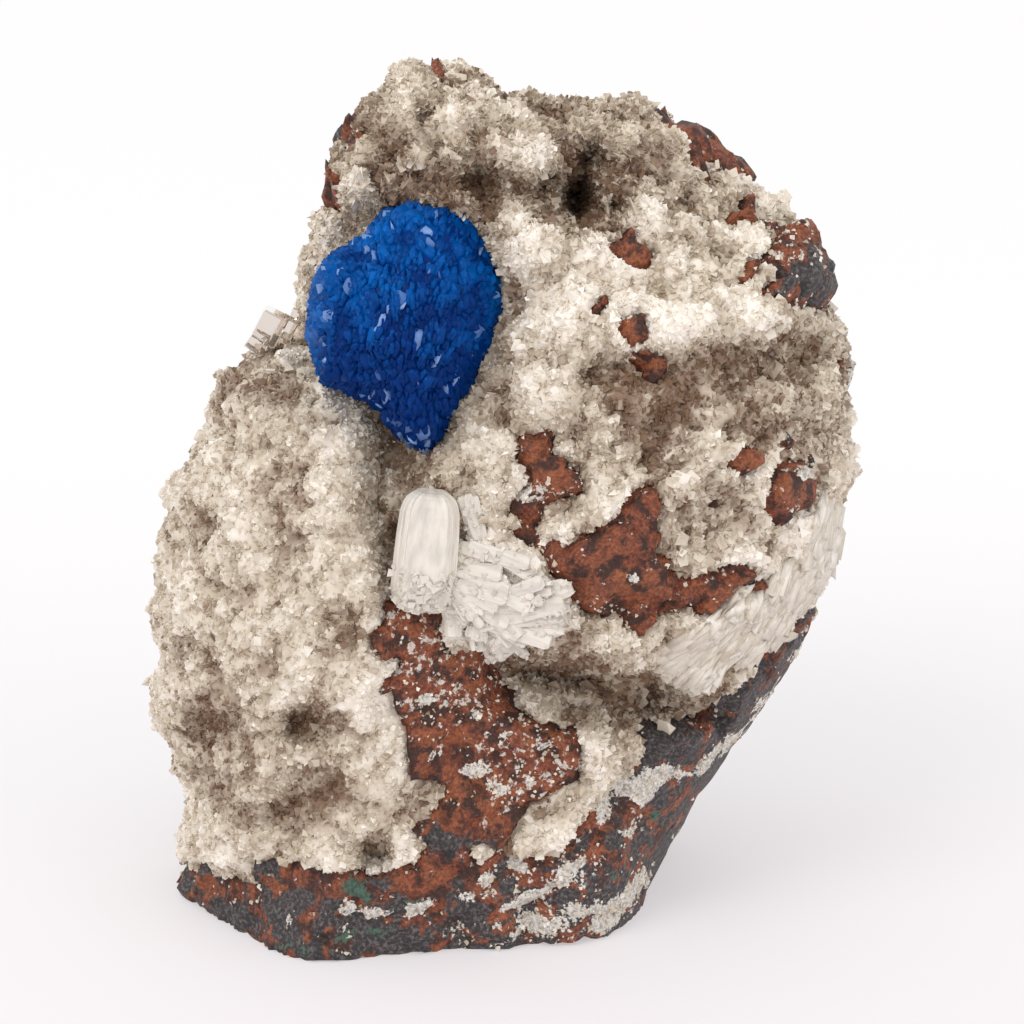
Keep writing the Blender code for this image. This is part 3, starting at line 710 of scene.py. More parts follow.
def soft_noise(points, spacing, seed):
    """Smooth noise from -1 to 1 whose hills lie about one spacing apart: the hashed numbers of the eight
    cells round each point, each weighed by its nearness."""
    scaled = points / spacing
    corner = np.floor(scaled)
    part = scaled - corner
    part = part * part * (3 - 2 * part)
    total = np.zeros(len(points))
    for step in product((0, 1), repeat=3):
        weight = np.prod(np.where(step, part, 1 - part), axis=1)
        total += weight * hashed(corner + step, seed)
    return 2 * total - 1


def layered(points, layers):
    """Sum of soft noises, each with its spacing and height in mm and its seed."""
    return sum(height * soft_noise(points, spacing, seed) for spacing, height, seed in layers)


def cells_round(scaled, seed, margin):
    """Gives the 27 cells round each scaled point, and the distance from it to each one's random middle,
    which keeps a margin from the cell's sides."""
    corner = np.floor(scaled)
    for step in product((-1, 0, 1), repeat=3):
        cell = corner + step
        jitter = np.stack([hashed(cell, seed + axis) for axis in range(3)], axis=1)
        yield cell, np.linalg.norm(cell + margin + (1 - 2 * margin) * jitter - scaled, axis=1)


def lumps(points, spacing, seed):
    """Round-topped lumps packed about one spacing apart, from 0 in the creases to 1 on the tops: one less
    twice the squared distance to the nearest middle."""
    nearest = np.full(len(points), 2.0)
    for _, gap in cells_round(points / spacing, seed, 0.15):
        nearest = np.minimum(nearest, gap)
    return 1 - np.minimum(2 * nearest**2, 1)


def lumpy(points, layers):
    """Sum of lumps, each with its spacing and height in mm and its seed, about their middle level."""
    return sum(height * (lumps(points, spacing, seed) - 0.5) for spacing, height, seed in layers)


def rim_radius(outline, middle, angles):
    """Distance in mm from the middle to a traced outline, for directions on the face."""
    trace = np.array(outline, float)
    across = (trace[:, 0] - middle[0]) * UNIT
    up = (middle[1] - trace[:, 1]) * UNIT
    bearing = np.arctan2(up, across)
    return np.interp(angles, bearing, np.hypot(across, up), period=2 * math.pi)


def inside(outline, places):
    """Signed distance in mm from a traced outline: positive inside it, negative outside."""
    corners = np.array(outline, float)
    x, y = places.T
    nearest = np.full(len(places), np.inf)
    odd = np.zeros(len(places), bool)
    for (ax, ay), (bx, by) in zip(corners, np.roll(corners, -1, axis=0)):
        run, rise = bx - ax, by - ay
        along = ((x - ax) * run + (y - ay) * rise) / (run * run + rise * rise)
        along = np.clip(along, 0, 1)
        nearest = np.minimum(nearest, np.hypot(x - ax - along * run, y - ay - along * rise))
        crosses = (ay > y) != (by > y)
        odd ^= crosses & (x < ax + (y - ay) * run / (rise if rise else 1))
    return np.where(odd, nearest, -nearest) * UNIT


def bands(places):
    """Height in mm of the slanting ridges and furrows that cross the right lobe: noise drawn out along
    the slant, fading with the fourth power of the distance."""
    slant = math.radians(BAND_TURN)
    right, down = (places - BAND_MIDDLE).T * UNIT
    along = right * math.cos(slant) - down * math.sin(slant)
    aside = right * math.sin(slant) + down * math.cos(slant)
    ridge = soft_noise(np.stack([along / BAND_STRETCH, aside, 0 * aside], axis=1), BAND_SPACING, 41)
    reach = (along / BAND_REACH[0]) ** 2 + (aside / BAND_REACH[1]) ** 2
    return BAND_HEIGHT * ridge * np.exp(-(reach**2))


def in_ellipse(places, x, y, half_x, half_y, turn):
    """Picture places in an ellipse's own terms, with 1 at the end of each half-axis."""
    cosine, sine = math.cos(math.radians(turn)), math.sin(math.radians(turn))
    right, down = places[:, 0] - x, places[:, 1] - y
    return (right * cosine - down * sine) / half_x, (right * sine + down * cosine) / half_y


def swells(places, table):
    """Sum of soft-edged ellipses, each worth its own amount, fading with the fourth power of distance."""
    total = np.zeros(len(places))
    for *ellipse, amount in table:
        along, aside = in_ellipse(places, *ellipse)
        total += amount * np.exp(-((along**2 + aside**2) ** 2))
    return total


def spots(places, table):
    """Signed distance in mm from a list of ellipses: positive inside the nearest one."""
    nearest = np.full(len(places), FAR_OUTSIDE)
    for ellipse in table:
        reach = np.hypot(*in_ellipse(places, *ellipse))
        nearest = np.maximum(nearest, (1 - reach) * min(ellipse[2:4]) * UNIT)
    return nearest


def body_points(directions, depth):
    """Places points of the body in the face frame, a depth under its surface, one per direction. The
    body's edge is the traced rim in the face and a depth across it, joined by a superellipse, cut by the
    broken faces of the back and raised by the relief in front."""
    across, up, out = directions.T
    flat = np.hypot(across, up)
    rim = rim_radius(FACE_OUTLINE, BODY_MIDDLE, np.arctan2(up, across))
    thick = np.where(out > 0, FRONT_DEPTH, BACK_DEPTH)
    reach = ((flat / rim) ** SQUARENESS + (np.abs(out) / thick) ** SQUARENESS) ** (-1 / SQUARENESS)
    for looks, distance in BREAKS:
        towards = directions @ (np.array(looks) / np.linalg.norm(looks))
        reach = np.minimum(reach, distance / np.maximum(towards, 0.01))
    points = directions * (reach - depth)[:, None]
    in_front = directions[:, 2] * reach
    picture = BODY_MIDDLE + points[:, :2] / (UNIT, -UNIT)
    facing = np.clip((in_front - RELIEF_START) / RELIEF_BLEND, 0, 1)
    points[:, 2] += (swells(picture, RELIEF) + bands(picture)) * facing * facing * (3 - 2 * facing)
    points[:, 0] += (BODY_MIDDLE[0] - FACE_ORIGIN[0]) * UNIT
    points[:, 1] += (FACE_ORIGIN[1] - BODY_MIDDLE[1]) * UNIT
    points[:, 2] += RISE_FOLLOW * points[:, 1] + RISE_START
    return points, picture, in_front


def place(picture, lift):
    """Turns a picture place into face-frame millimetres, lifted off the surface of the body."""
    spot = np.array([picture], float)
    right, above = (spot[0] - BODY_MIDDLE) * (UNIT, -UNIT)
    rim = rim_radius(FACE_OUTLINE, BODY_MIDDLE, math.atan2(above, right))
    share = min(math.hypot(right, above) / rim, 0.98)
    level = FRONT_DEPTH * (1 - share**SQUARENESS) ** (1 / SQUARENESS)
    across, up = (spot[0] - FACE_ORIGIN) * (UNIT, -UNIT)
    height = level + swells(spot, RELIEF)[0] + bands(spot)[0] + RISE_FOLLOW * up + RISE_START + lift
    return np.array([across, up, height])


def open_rock(points, picture, in_front):
    """How far in mm each point lies inside the bare basalt, negative under the crust: behind the rim or
    inside a traced opening, with a wandering edge."""
    bare = -in_front - CRUST_WRAP + layered(points, REAR_WANDER) - swells(picture, OVERHANG)
    for outline in ROCK_OPENINGS + SMALL_OPENINGS:
        bare = np.maximum(bare, inside(outline, picture))
    return bare + layered(points, EDGE_WANDER)


def finish_mesh(name, points, faces, smooth=False, values=None):
    """Puts points in metres and groups of faces into a mesh object, with one number a point for each
    value."""
    sizes = np.concatenate([np.full(len(group), group.shape[1]) for group in faces])
    corners = np.concatenate([group.ravel() for group in faces])
    if not len(sizes):
        raise ValueError(f"{name} has no faces")
    mesh = bpy.data.meshes.new(name)
    mesh.vertices.add(len(points))
    mesh.vertices.foreach_set("co", points.astype(np.float32).ravel())
    mesh.loops.add(len(corners))
    mesh.loops.foreach_set("vertex_index", corners.astype(np.int32))
    mesh.polygons.add(len(sizes))
    mesh.polygons.foreach_set("loop_start", (np.cumsum(sizes) - sizes).astype(np.int32))
    mesh.polygons.foreach_set("use_smooth", np.full(len(sizes), smooth))
    for key, numbers in (values or {}).items():
        layer = mesh.attributes.new(key, "FLOAT", "POINT")
        layer.data.foreach_set("value", numbers.astype(np.float32))
    mesh.update(calc_edges=True)
    mesh.validate()
    made = bpy.data.objects.new(name, mesh)
    bpy.context.scene.collection.objects.link(made)
    return made


def settle(piece, node, material):
    """Gives a piece its material, and lets it ride on the specimen in place of a solid."""
    piece.data.materials.append(material)
    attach(piece, "root")
    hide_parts(node)


def body_grid(step):
    """Directions and quads of a box-shaped grid: on each side of the box two parameters run from edge to
    edge, and each point's direction is its place on the box divided by its length."""
    counts = np.array([round(2 * half / step) for half in GRID_BOX])
    stride = np.array([1, counts[0] + 1, (counts[0] + 1) * (counts[1] + 1)])
    quads = []
    for axis, side in product(range(3), (0, 1)):
        first, second = (axis + 1) % 3, (axis + 2) % 3
        along, aside = np.meshgrid(np.arange(counts[first]), np.arange(counts[second]), indexing="ij")
        corner = side * counts[axis] * stride[axis] + along * stride[first] + aside * stride[second]
        steps = np.array([0, stride[first], stride[first] + stride[second], stride[second]])
        quads.append(corner.reshape(-1, 1) + (steps if side else steps[::-1]))
    keys, faces = np.unique(np.concatenate(quads), return_inverse=True)
    lattice = np.stack([keys % stride[1], keys % stride[2] // stride[1], keys // stride[2]], axis=1)
    box = (2 * lattice / counts - 1) * GRID_BOX
    return box / np.linalg.norm(box, axis=1)[:, None], faces.reshape(-1, 4)


def stand(points, level):
    """Turns face-frame points upright, and draws those under a level in mm back to it along their line
    to the body's middle, which cuts the base flat."""
    across, up = (BODY_MIDDLE[0] - FACE_ORIGIN[0]) * UNIT, (FACE_ORIGIN[1] - BODY_MIDDLE[1]) * UNIT
    middle = lean([[across, up, RISE_FOLLOW * up + RISE_START]])[0]
    upright = lean(points)
    low = upright[:, 2] < level * METRE
    share = (middle[2] - level * METRE) / (middle[2] - upright[low, 2])
    upright[low] = middle + (upright[low] - middle) * share[:, None]
    return upright


def pits(points, spacing, radius, seed, share):
    """Signed distance in mm from round pits scattered in space, one in some of the cells of a lattice."""
    nearest = np.full(len(points), FAR_OUTSIDE)
    for cell, gap in cells_round(points / spacing, seed, 0.2):
        size = radius * (0.4 + 0.9 * hashed(cell, seed + 4))
        shown = hashed(cell, seed + 3) < share
        nearest = np.maximum(nearest, np.where(shown, size - gap * spacing, FAR_OUTSIDE))
    return nearest


def rock_layout(directions):
    """Works out for each direction where the body's surface lies, the depths in mm under it of the basalt
    and of the crust's outside, how far it is inside an opening, and the height of the crust's lumps."""
    points, picture, in_front = body_points(directions, np.zeros(len(directions)))
    opening = open_rock(points, picture, in_front) + layered(points, EDGE_TEETH)
    front = np.clip(in_front / FRONT_BLEND, 0, 1)
    bare = np.clip(opening / EDGE_STEP, -1, 1) * 0.5 + 0.5
    bulge = (1 - swells(picture, CALM) * front) * lumpy(points, CRUST_LUMPS) + lumpy(points, FINE_CRUST_LUMPS)
    seam = np.where(in_front > 0, np.clip(inside(SEAM, picture) + 0.5, 0, 1), 0)
    fade = np.clip(-opening / EDGE_FADE, EDGE_SHARE, 1) * (1 - SEAM_CALM * seam)
    crust = CRYSTAL_REACH + bare * HIDDEN_CRUST - bulge * (1 - OPENING_CALM * bare) * fade
    trimmed = np.clip(swells(picture, TRIMMED), 0, 1)
    rough = np.minimum(layered(points, ROCK_LUMPS), ROCK_TOP) * (1 - TRIMMED_CALM * trimmed)
    raised = TRIM_RISE * trimmed + swells(picture, LEDGE) * front
    rock = CRUST_THICKNESS + (ROCK_RECESS - CRUST_THICKNESS - rough - raised) * bare
    return SimpleNamespace(
        points=points, picture=picture, in_front=in_front, front=front,
        opening=opening, bulge=bulge, crust=crust, rock=rock,
    )  # fmt: skip


def rock_surface(step):
    """Surface of the basalt: each grid direction's point lies at the body's surface less the basalt's
    depth, with vesicle pits and amygdules worked out from its place, and the values that colour it."""
    directions, quads = body_grid(step)
    layout = rock_layout(directions)
    points, front = layout.points, layout.front
    teeth = layered(points, FILLING_TEETH)
    # traced spots fade out over the sides, and the pits and veins of the back fade out in front
    behind = SPOT_FADE[0] * np.clip(SPOT_FADE[1] - layout.in_front, 0, None)
    amygdules = pits(points, *AMYGDULES) - FRONT_FADE["amygdules"] * front
    veins = VEIN_HALF_WIDTH - VEIN_FALL * np.abs(soft_noise(points, *VEIN_NOISE))
    veins += layered(points, VEIN_BREAKS) - FRONT_FADE["veins"] * front
    white = np.maximum(spots(layout.picture, WHITE_SPOTS) - behind, np.maximum(amygdules, veins)) + teeth
    green = pits(points, *GREEN_PITS) - FRONT_FADE["green"] * front
    green = np.maximum(spots(layout.picture, GREEN_SPOTS) - behind, green)
    vesicles = pits(points, *VESICLES)
    sunk = np.clip(vesicles, 0, PIT_DEPTH) * (white < 0) - FILLING_RISE * np.clip(white * 3, 0, 1)
    shaped = body_points(directions, layout.rock + sunk)[0]
    rust = swells(layout.picture, RUSTS) * front + layered(points, FRONT_RUST)
    rust += (layered(points, BACK_RUST) - BACK_GREY) * (1 - front)
    values = {"rust": rust, "white": white, "green": green + 0.5 * teeth, "hollow": vesicles}
    values["dust"] = swells(layout.picture, DUSTS) * front
    return SimpleNamespace(
        points=stand(shaped, 0), quads=quads, values=values, opening=layout.opening, places=points
    )


def make_basalt(look):
    """Makes the basalt."""
    rock = rock_surface(look.step)
    piece = finish_mesh("basalt", rock.points, [rock.quads], True, rock.values)
    settle(piece, "basalt_matrix", basalt_material(look))


def crust_shell(look):
    """Makes the crust's sheet: an outer grid where the crust lies over the basalt, an inner copy of it
    under the basalt's surface, and a strip between their open edges."""
    directions, quads = body_grid(look.step)
    layout = rock_layout(directions)
    over = (layout.crust - layout.rock)[quads].min(axis=1) < SHEET_OVERLAP
    used, quads = np.unique(quads[over], return_inverse=True)
    quads = quads.reshape(-1, 4)
    outer = body_points(directions[used], layout.crust[used])[0]
    inner = body_points(directions[used], np.maximum(layout.rock, layout.crust)[used] + SHEET_DEPTH)[0]
    size = len(used)
    # an edge is open where no other quad runs along it the other way
    edges = np.concatenate([quads[:, [a, (a + 1) % 4]] for a in range(4)])
    open_edge = edges[~np.isin(edges[:, 1] * size + edges[:, 0], edges[:, 0] * size + edges[:, 1])]
    first, second = open_edge.T
    strip = np.column_stack([second, first, first + size, second + size])
    return SimpleNamespace(
        points=stand(np.concatenate([outer, inner]), BASE_CLEARANCE),
        quads=quads,
        sheet=[quads, quads[:, ::-1] + size, strip],
        tone=crust_tone_and_shade(layout)[used],
        opening=layout.opening[used],
        picture=layout.picture[used],
        in_front=layout.in_front[used],
    )


def crust_tone_and_shade(layout):
    """Colour of the crust from 0 for white to 1 for brown: swells of colour, some of them painted shade over
    the hollows, and painted shade and light that make it browner in the creases and paler on the lumps.
    """
    tone = TONE_MIDDLE + swells(layout.picture, TONES_AND_PAINTED_SHADE) + layered(layout.points, TONE_PATCHES)
    return tone + layered(layout.points, TONE_SPECKS) - LUMP_PAINTED_SHADE * layout.bulge


def block_shape():
    """Corners, quads and triangles of a larger crystal: a four-sided block whose top slants to a short
    ridge."""
    around = np.array([[-1, -1], [1, -1], [1, 1], [-1, 1]], float)
    foot = np.column_stack([around * 0.9, np.zeros(4)])
    shoulder = np.column_stack([around, np.full(4, 0.72)])
    ridge = np.array([[-0.45, 0, 1], [0.45, 0, 1]])
    sides = [[0, 1, 5, 4], [1, 2, 6, 5], [2, 3, 7, 6], [3, 0, 4, 7]]
    quads = np.array([[3, 2, 1, 0], *sides, [4, 5, 9, 8], [6, 7, 8, 9]])
    return np.vstack([foot, shoulder, ridge]), quads, np.array([[5, 6, 9], [7, 4, 8]])


def wedge_shape():
    """Corners, quads and triangles of a sugar-sized crystal: a square foot that closes to a ridge."""
    corners = np.array([[-1, -1, 0], [1, -1, 0], [1, 1, 0], [-1, 1, 0], [-0.6, 0, 1], [0.6, 0, 1]])
    return corners, np.array([[3, 2, 1, 0], [0, 1, 5, 4], [2, 3, 4, 5]]), np.array([[1, 2, 5], [3, 0, 4]])


def crystal_array(shape, seats, axes, sizes, chance, broadside=None):
    """Makes many crystals at once: each seat carries the shape stretched to its width, thickness and
    length along its own axis, with its corners moved a little at random. It is turned round its axis so
    that its width runs along a given direction, or else at random."""
    corners, *groups = shape
    count = len(seats)
    spin = chance.normal(size=(count, 3)) if broadside is None else np.cross(broadside, axes)
    wide = np.cross(axes, spin)
    wide /= np.linalg.norm(wide, axis=1)[:, None]
    thin = np.cross(axes, wide)
    moved = corners[None] + chance.uniform(-1, 1, (count, len(corners), 3)) * CORNER_STRAY
    scaled = moved * sizes[:, None, :]
    points = seats[:, None, :] + sum(
        scaled[:, :, part : part + 1] * way[:, None, :] for part, way in enumerate((wide, thin, axes))
    )
    shift = np.arange(count)[:, None, None] * len(corners)
    return points.reshape(-1, 3), [(group + shift).reshape(-1, group.shape[1]) for group in groups]


def sow(points, quads, weights, count, chance):
    """Picks seats on a grid's quads, in proportion to area and weight, with their outward normals."""
    a, b, c, d = (points[quads[:, corner]] for corner in range(4))
    normals = np.cross(c - a, d - b)
    area = np.linalg.norm(normals, axis=1)
    weight = area * weights
    chosen = chance.choice(len(quads), count, p=weight / weight.sum())
    right, up = chance.uniform(0, 1, (2, count, 1))
    low = a[chosen] * (1 - right) + b[chosen] * right
    high = d[chosen] * (1 - right) + c[chosen] * right
    return low * (1 - up) + high * up, normals[chosen] / area[chosen][:, None], chosen


def stretch_weights(picture):
    """Share of each stretch of the druse at picture places: upper lobe, left lobe and right lobe."""
    x, y = picture.T
    line = UPPER_LINE.lies - UPPER_LINE.slope * np.abs(x - UPPER_LINE.middle)
    above = np.clip((line - y) / UPPER_LINE.fade + 0.5, 0, 1)
    left = np.clip((LEFT_LINE.lies - x) / LEFT_LINE.fade + 0.5, 0, 1) * (1 - above)
    return {"upper": above, "left": left, "right": 1 - above - left}


def sprinkle(shape, surface, weights, count, form, size, chance):
    """Sets crystals on a surface of points and quads: seats by weight, each leaning off the surface, its
    width spread round the usual size, its foot sunk into the surface."""
    points, quads = surface
    usual, thin, long, slant = form
    seats, normals, chosen = sow(points, quads, weights, count, chance)
    axes = normals + slant * LEAN_SPREAD * chance.normal(size=(count, 3))
    axes /= np.linalg.norm(axes, axis=1)[:, None]
    width = size * usual * np.exp(WIDTH_SPREAD * chance.normal(size=count)) * METRE / 2
    width = np.clip(width, HALF_WIDTHS[0] * METRE, HALF_WIDTHS[1] * METRE)
    depth = width * thin * chance.uniform(*THICKNESS_SPREAD, count)
    sizes = np.column_stack([width, depth, 2 * width * (long + EXTRA_LENGTH)])
    corners, faces = crystal_array(shape, seats - axes * sizes[:, 2:] * SUNK_SHARE, axes, sizes, chance)
    return corners, faces, chosen


def hidden_places(picture, in_front):
    """Where the ball or the seam lies over the crust, so that no small crystals are needed."""
    covered = np.maximum(inside(BALL_OUTLINE, picture) - BALL_COVER, inside(SEAM, picture) - SEAM_COVER)
    return (covered > 0) & (in_front > 0)


def finish_druse(name, parts, smooth, material):
    """Puts a stretch of the druse's crystals into one piece."""
    points, faces, tone = join(parts)
    settle(finish_mesh(name, points, faces, smooth, {"tone": tone}), "druse_crust", material)


def make_druse(look, rock):
    """Makes the crust, the small crystals on it, the seam and the strays on the bare basalt."""
    crust = crust_shell(look)
    shell = finish_mesh("druse", crust.points, crust.sheet, True, {"tone": np.tile(crust.tone, 2)})
    settle(shell, "druse_crust", druse_material(look, "zeolite crust", 0.0))
    glassy = druse_material(look, "stilbite druse crystals", DRUSE_TRANSMISSION)
    weights = stretch_weights(crust.picture)
    empty = (crust.opening > 0) | hidden_places(crust.picture, crust.in_front)
    sorts = ((wedge_shape(), look.crystals, 1.0), (block_shape(), look.large, LARGE_GROWTH))
    for seed, (name, (usual, *form)) in enumerate(STRETCHES.items(), STRETCH_SEED):
        chance = np.random.default_rng(seed)
        shown = np.where(empty, 0, weights[name])[crust.quads].mean(axis=1)
        parts = []
        for shape, count, growth in sorts:
            surface = crust.points, crust.quads
            corners, faces, chosen = sprinkle(
                shape, surface, shown, count, (usual * growth, *form), look.size, chance
            )
            # each crystal takes the tone of the crust under it, with its painted shade and light, and a
            # random spread
            tone = crust.tone[crust.quads[chosen, 0]] + TONE_SPREAD * chance.normal(size=count)
            parts.append((corners, faces, np.repeat(tone, len(shape[0]))))
        finish_druse(f"druse_crystals_{name}", parts, False, glassy)
    make_strays(look, rock, glassy)
    make_seam(look, crust, glassy)


def make_seam(look, crust, material):
    """Makes the long crystals of the seam: blades that lie along one way across the face, each a little
    off it, close over one another."""
    chance = np.random.default_rng(SEEDS["seam"])
    count = look.seam
    shown = ((inside(SEAM, crust.picture) > SEAM_COVER) & (crust.in_front > 1)).astype(float)
    seats, normals, _ = sow(crust.points, crust.quads, shown[crust.quads].min(axis=1), count, chance)
    run, start = lean([(*SEAM_RUN, 0.0), (0.0, 0.0, 0.0)])
    axes = (run - start) / METRE + SEAM_STRAY * chance.normal(size=(count, 3))
    axes -= normals * np.sum(axes * normals, axis=1)[:, None]
    axes /= np.linalg.norm(axes, axis=1)[:, None]
    width = SEAM_HALF_WIDTH * METRE * np.exp(BROAD_SPREAD * chance.normal(size=count))
    length = METRE * chance.uniform(*SEAM_LENGTHS, count)
    sizes = np.column_stack([width, 0.6 * width, length])
    height = METRE * chance.uniform(*SEAM_HEIGHTS, count)
    feet = seats - axes * length[:, None] * 0.5 + normals * height[:, None]
    shape = block_shape()
    corners, faces = crystal_array(shape, feet, axes, sizes, chance)
    tone = np.repeat(SEAM_TONE[0] + SEAM_TONE[1] * chance.normal(size=count), len(shape[0]))
    finish_druse("druse_seam", [(corners, faces, tone)], True, material)


def make_strays(look, rock, material):
    """Makes the small crystals left on the bare basalt: thick along the crust's edge, on the fillings and
    where it is dusted, in clusters elsewhere, and few on the back."""
    chance = np.random.default_rng(SEEDS["strays"])
    thick = SimpleNamespace(**STRAY_SHARES)
    edge = thick.edge * np.clip(1 - rock.opening / EDGE_STEP, 0, 1) ** 2
    clusters = np.clip(soft_noise(rock.places, *STRAY_CLUSTERS) * 3 - 1.3, 0, 1) * thick.clusters
    fillings = np.clip(rock.values["white"] * 4, 0, 1) * thick.fillings
    dusted = thick.dusted * np.clip(rock.values["dust"], 0, 1)
    front = np.clip((rock.places[:, 2] - 2) / 4, 0, 1)
    spread = (clusters + fillings + dusted) * (thick.behind + (1 - thick.behind) * front)
    weight = np.where(rock.opening > -0.3, edge + spread, 0)
    shape, surface = wedge_shape(), (rock.points, rock.quads)
    corners, faces, _ = sprinkle(
        shape, surface, weight[rock.quads].mean(axis=1), look.strays, STRAY_FORM, look.size, chance
    )
    tone = np.repeat(STRAY_TONE[0] + STRAY_TONE[1] * chance.normal(size=look.strays), len(shape[0]))
    finish_druse("druse_strays", [(corners, faces, tone)], False, material)


def fibonacci(count):
    """Directions spread evenly round a ball: equal steps in height, each turned by the golden angle."""
    height = 1 - (2 * np.arange(count) + 1) / count
    turn = np.arange(count) * math.pi * (3 - math.sqrt(5))
    around = np.sqrt(1 - height**2)
    return np.column_stack([around * np.cos(turn), around * np.sin(turn), height])


def ball_reach(directions):
    """Distance in mm from the ball's middle to its surface, from its traced outline and its depth."""
    flat = np.hypot(directions[:, 0], directions[:, 1])
    rim = rim_radius(BALL_OUTLINE, BALL_MIDDLE, np.arctan2(directions[:, 1], directions[:, 0]))
    return 1 / np.sqrt((flat / rim) ** 2 + (directions[:, 2] / BALL_DEPTH) ** 2)


def make_ball(look):
    """Makes the cavansite ball: a core whose radius follows the traced outline, and blades that fan out
    from clumps over it, the ones with painted glints in small groups and at the tail."""
    chance = np.random.default_rng(SEEDS["ball"])
    middle = place(BALL_MIDDLE, BALL_LIFT)
    grid, quads = body_grid(CORE_STEP)
    core = grid * (ball_reach(grid) - CORE_DEPTH)[:, None] + middle
    count = look.blades
    ways = fibonacci(count) + WAY_STRAY * chance.normal(size=(count, 3))
    ways /= np.linalg.norm(ways, axis=1)[:, None]
    right, up, _ = ways.T
    clumps = fibonacci(CLUMP_COUNT)
    nearest = clumps[np.argmax(ways @ clumps.T, axis=1)]
    axes = ways + CLUMP_FAN * (ways - nearest) + AXIS_STRAY * chance.normal(size=(count, 3))
    axes /= np.linalg.norm(axes, axis=1)[:, None]
    length = chance.uniform(*BLADE_LENGTHS, count)
    clump = soft_noise(ways * BALL_GRAIN, *CLUMP_NOISE)
    grouped = (soft_noise(ways * BALL_GRAIN, *PALE_NOISE) > PALE_LEVEL) | (up < PALE_TAIL)
    pale = chance.uniform(size=count) < np.where(grouped, *PALE_SHARES)
    pale = pale * chance.uniform(*PALE_RANGE, count)
    chips = pale > 0
    tip = ball_reach(ways) - 0.05 + CLUMP_RISE * clump
    tip += chance.uniform(*BLADE_TIPS, count) + PALE_RISE * chips
    width = BLADE_HALF_WIDTH * np.exp(BROAD_SPREAD * chance.normal(size=count))
    sizes = np.column_stack([width, (0.5 - PALE_THIN * chips) * width, length])
    seats = ways * tip[:, None] - axes * length[:, None] + middle
    upward = np.array([0.15, 1.0, 0.0]) + 0.35 * chance.normal(size=(count, 3))
    shape = block_shape()
    corners, faces = crystal_array(shape, seats, axes, sizes, chance, upward)
    # painted light and shade: glints along the left rim and the top, lighter up the ball, on the clumps and
    # at the left rim, and deeper towards the tail and between the clumps
    rim = np.maximum(-right - 0.75, 0) + np.maximum(up - 0.85, 0)
    pale = np.maximum(pale, 0.8 * rim * chance.uniform(0, 1, count))
    shade = BLADE_SHADE.middle + BLADE_SHADE.up * up + BLADE_SHADE.clump * clump
    shade += BLADE_SHADE.spread * chance.normal(size=count)
    shade = np.clip(shade + BLADE_SHADE.rim * np.maximum(-right - 0.6, 0), 0, 1)
    blades = (corners, faces, np.repeat(np.column_stack([pale, shade]), len(shape[0]), axis=0))
    # the core takes the deep blue, a painted shade between the blades
    inner = (core, [quads, np.empty((0, 3), int)], np.zeros((len(core), 2)))
    points, faces, looks = join([inner, blades])
    values = {"pale": looks[:, 0], "shade": looks[:, 1]}
    piece = finish_mesh("cavansite", lean(points), faces, True, values)
    settle(piece, "cavansite_ball", cavansite_material(look))


def lath(foot, head, half_sizes, profile, rise, ribs, chance, sides=LATH_SIDES):
    """Makes a crystal as a profile carried along a line: the profile's straight sides are each cut into a
    number of steps, with fine ribs, and the rise gives its width at each share of its length. The last
    value is its place across the pattern of streaks in mm."""
    corners = np.array(sides, float)
    share = np.arange(profile * len(corners)) / profile
    side = share.astype(int)
    part = (share % 1)[:, None]
    outline = corners[side] * (1 - part) + corners[(side + 1) % len(corners)] * part
    around = len(outline)
    outline *= (1 + ribs * chance.uniform(-1, 1, around))[:, None]
    length = np.linalg.norm(head - foot)
    up = (head - foot) / length
    thin = np.array([0, 0, 1.0]) - up * up[2]
    thin /= np.linalg.norm(thin)
    height, close = np.array(rise, float).T
    flat = outline[None] * close[:, None, None] * half_sizes
    points = foot + flat[..., 0:1] * np.cross(up, thin) + flat[..., 1:2] * thin
    points = (points + height[:, None, None] * length * up).reshape(-1, 3)
    rings, ring = len(height), np.arange(around)
    following = (ring + 1) % around
    starts = np.arange(rings - 1)[:, None] * around
    first, second = (starts + ring).ravel(), (starts + following).ravel()
    quads = np.column_stack([first, second, second + around, first + around])
    low, top, last = len(points), len(points) + 1, (rings - 1) * around
    bottom = np.column_stack([np.full(around, low), following, ring])
    cap = np.column_stack([np.full(around, top), last + ring, last + following])
    ends = foot + np.outer(height[[0, -1]] * length, up)
    grain = np.tile(ring * GRAIN_WIDTH * half_sizes[0] / around, rings)
    grain = np.append(grain, [0, 0]) + chance.uniform(0, GRAIN_RANGE)
    return np.vstack([points, ends]), [quads, np.vstack([bottom, cap])], grain


def join(parts):
    """Joins surfaces, each of points, quads and triangles, with one value a point."""
    points, faces, values = zip(*parts)
    starts = np.cumsum([0] + [len(spread) for spread in points])
    groups = [np.vstack([group + start for group, start in zip(kind, starts)]) for kind in zip(*faces)]
    return np.vstack(points), groups, np.concatenate(values)


def sugar(surface, weights, count, form, size, chance):
    """Small crystals on a surface, as points, faces and the places of each across the streaks."""
    shape = wedge_shape()
    corners, faces, _ = sprinkle(shape, surface, weights, count, form, size, chance)
    return corners, faces, np.repeat(chance.uniform(0, GRAIN_RANGE, count), len(shape[0]))


def finish_stilbite(name, node, parts, material):
    """Puts parts of a white crystal into one piece."""
    points, faces, grain = join(parts)
    settle(finish_mesh(name, points, faces, False, {"grain": grain}), node, material)


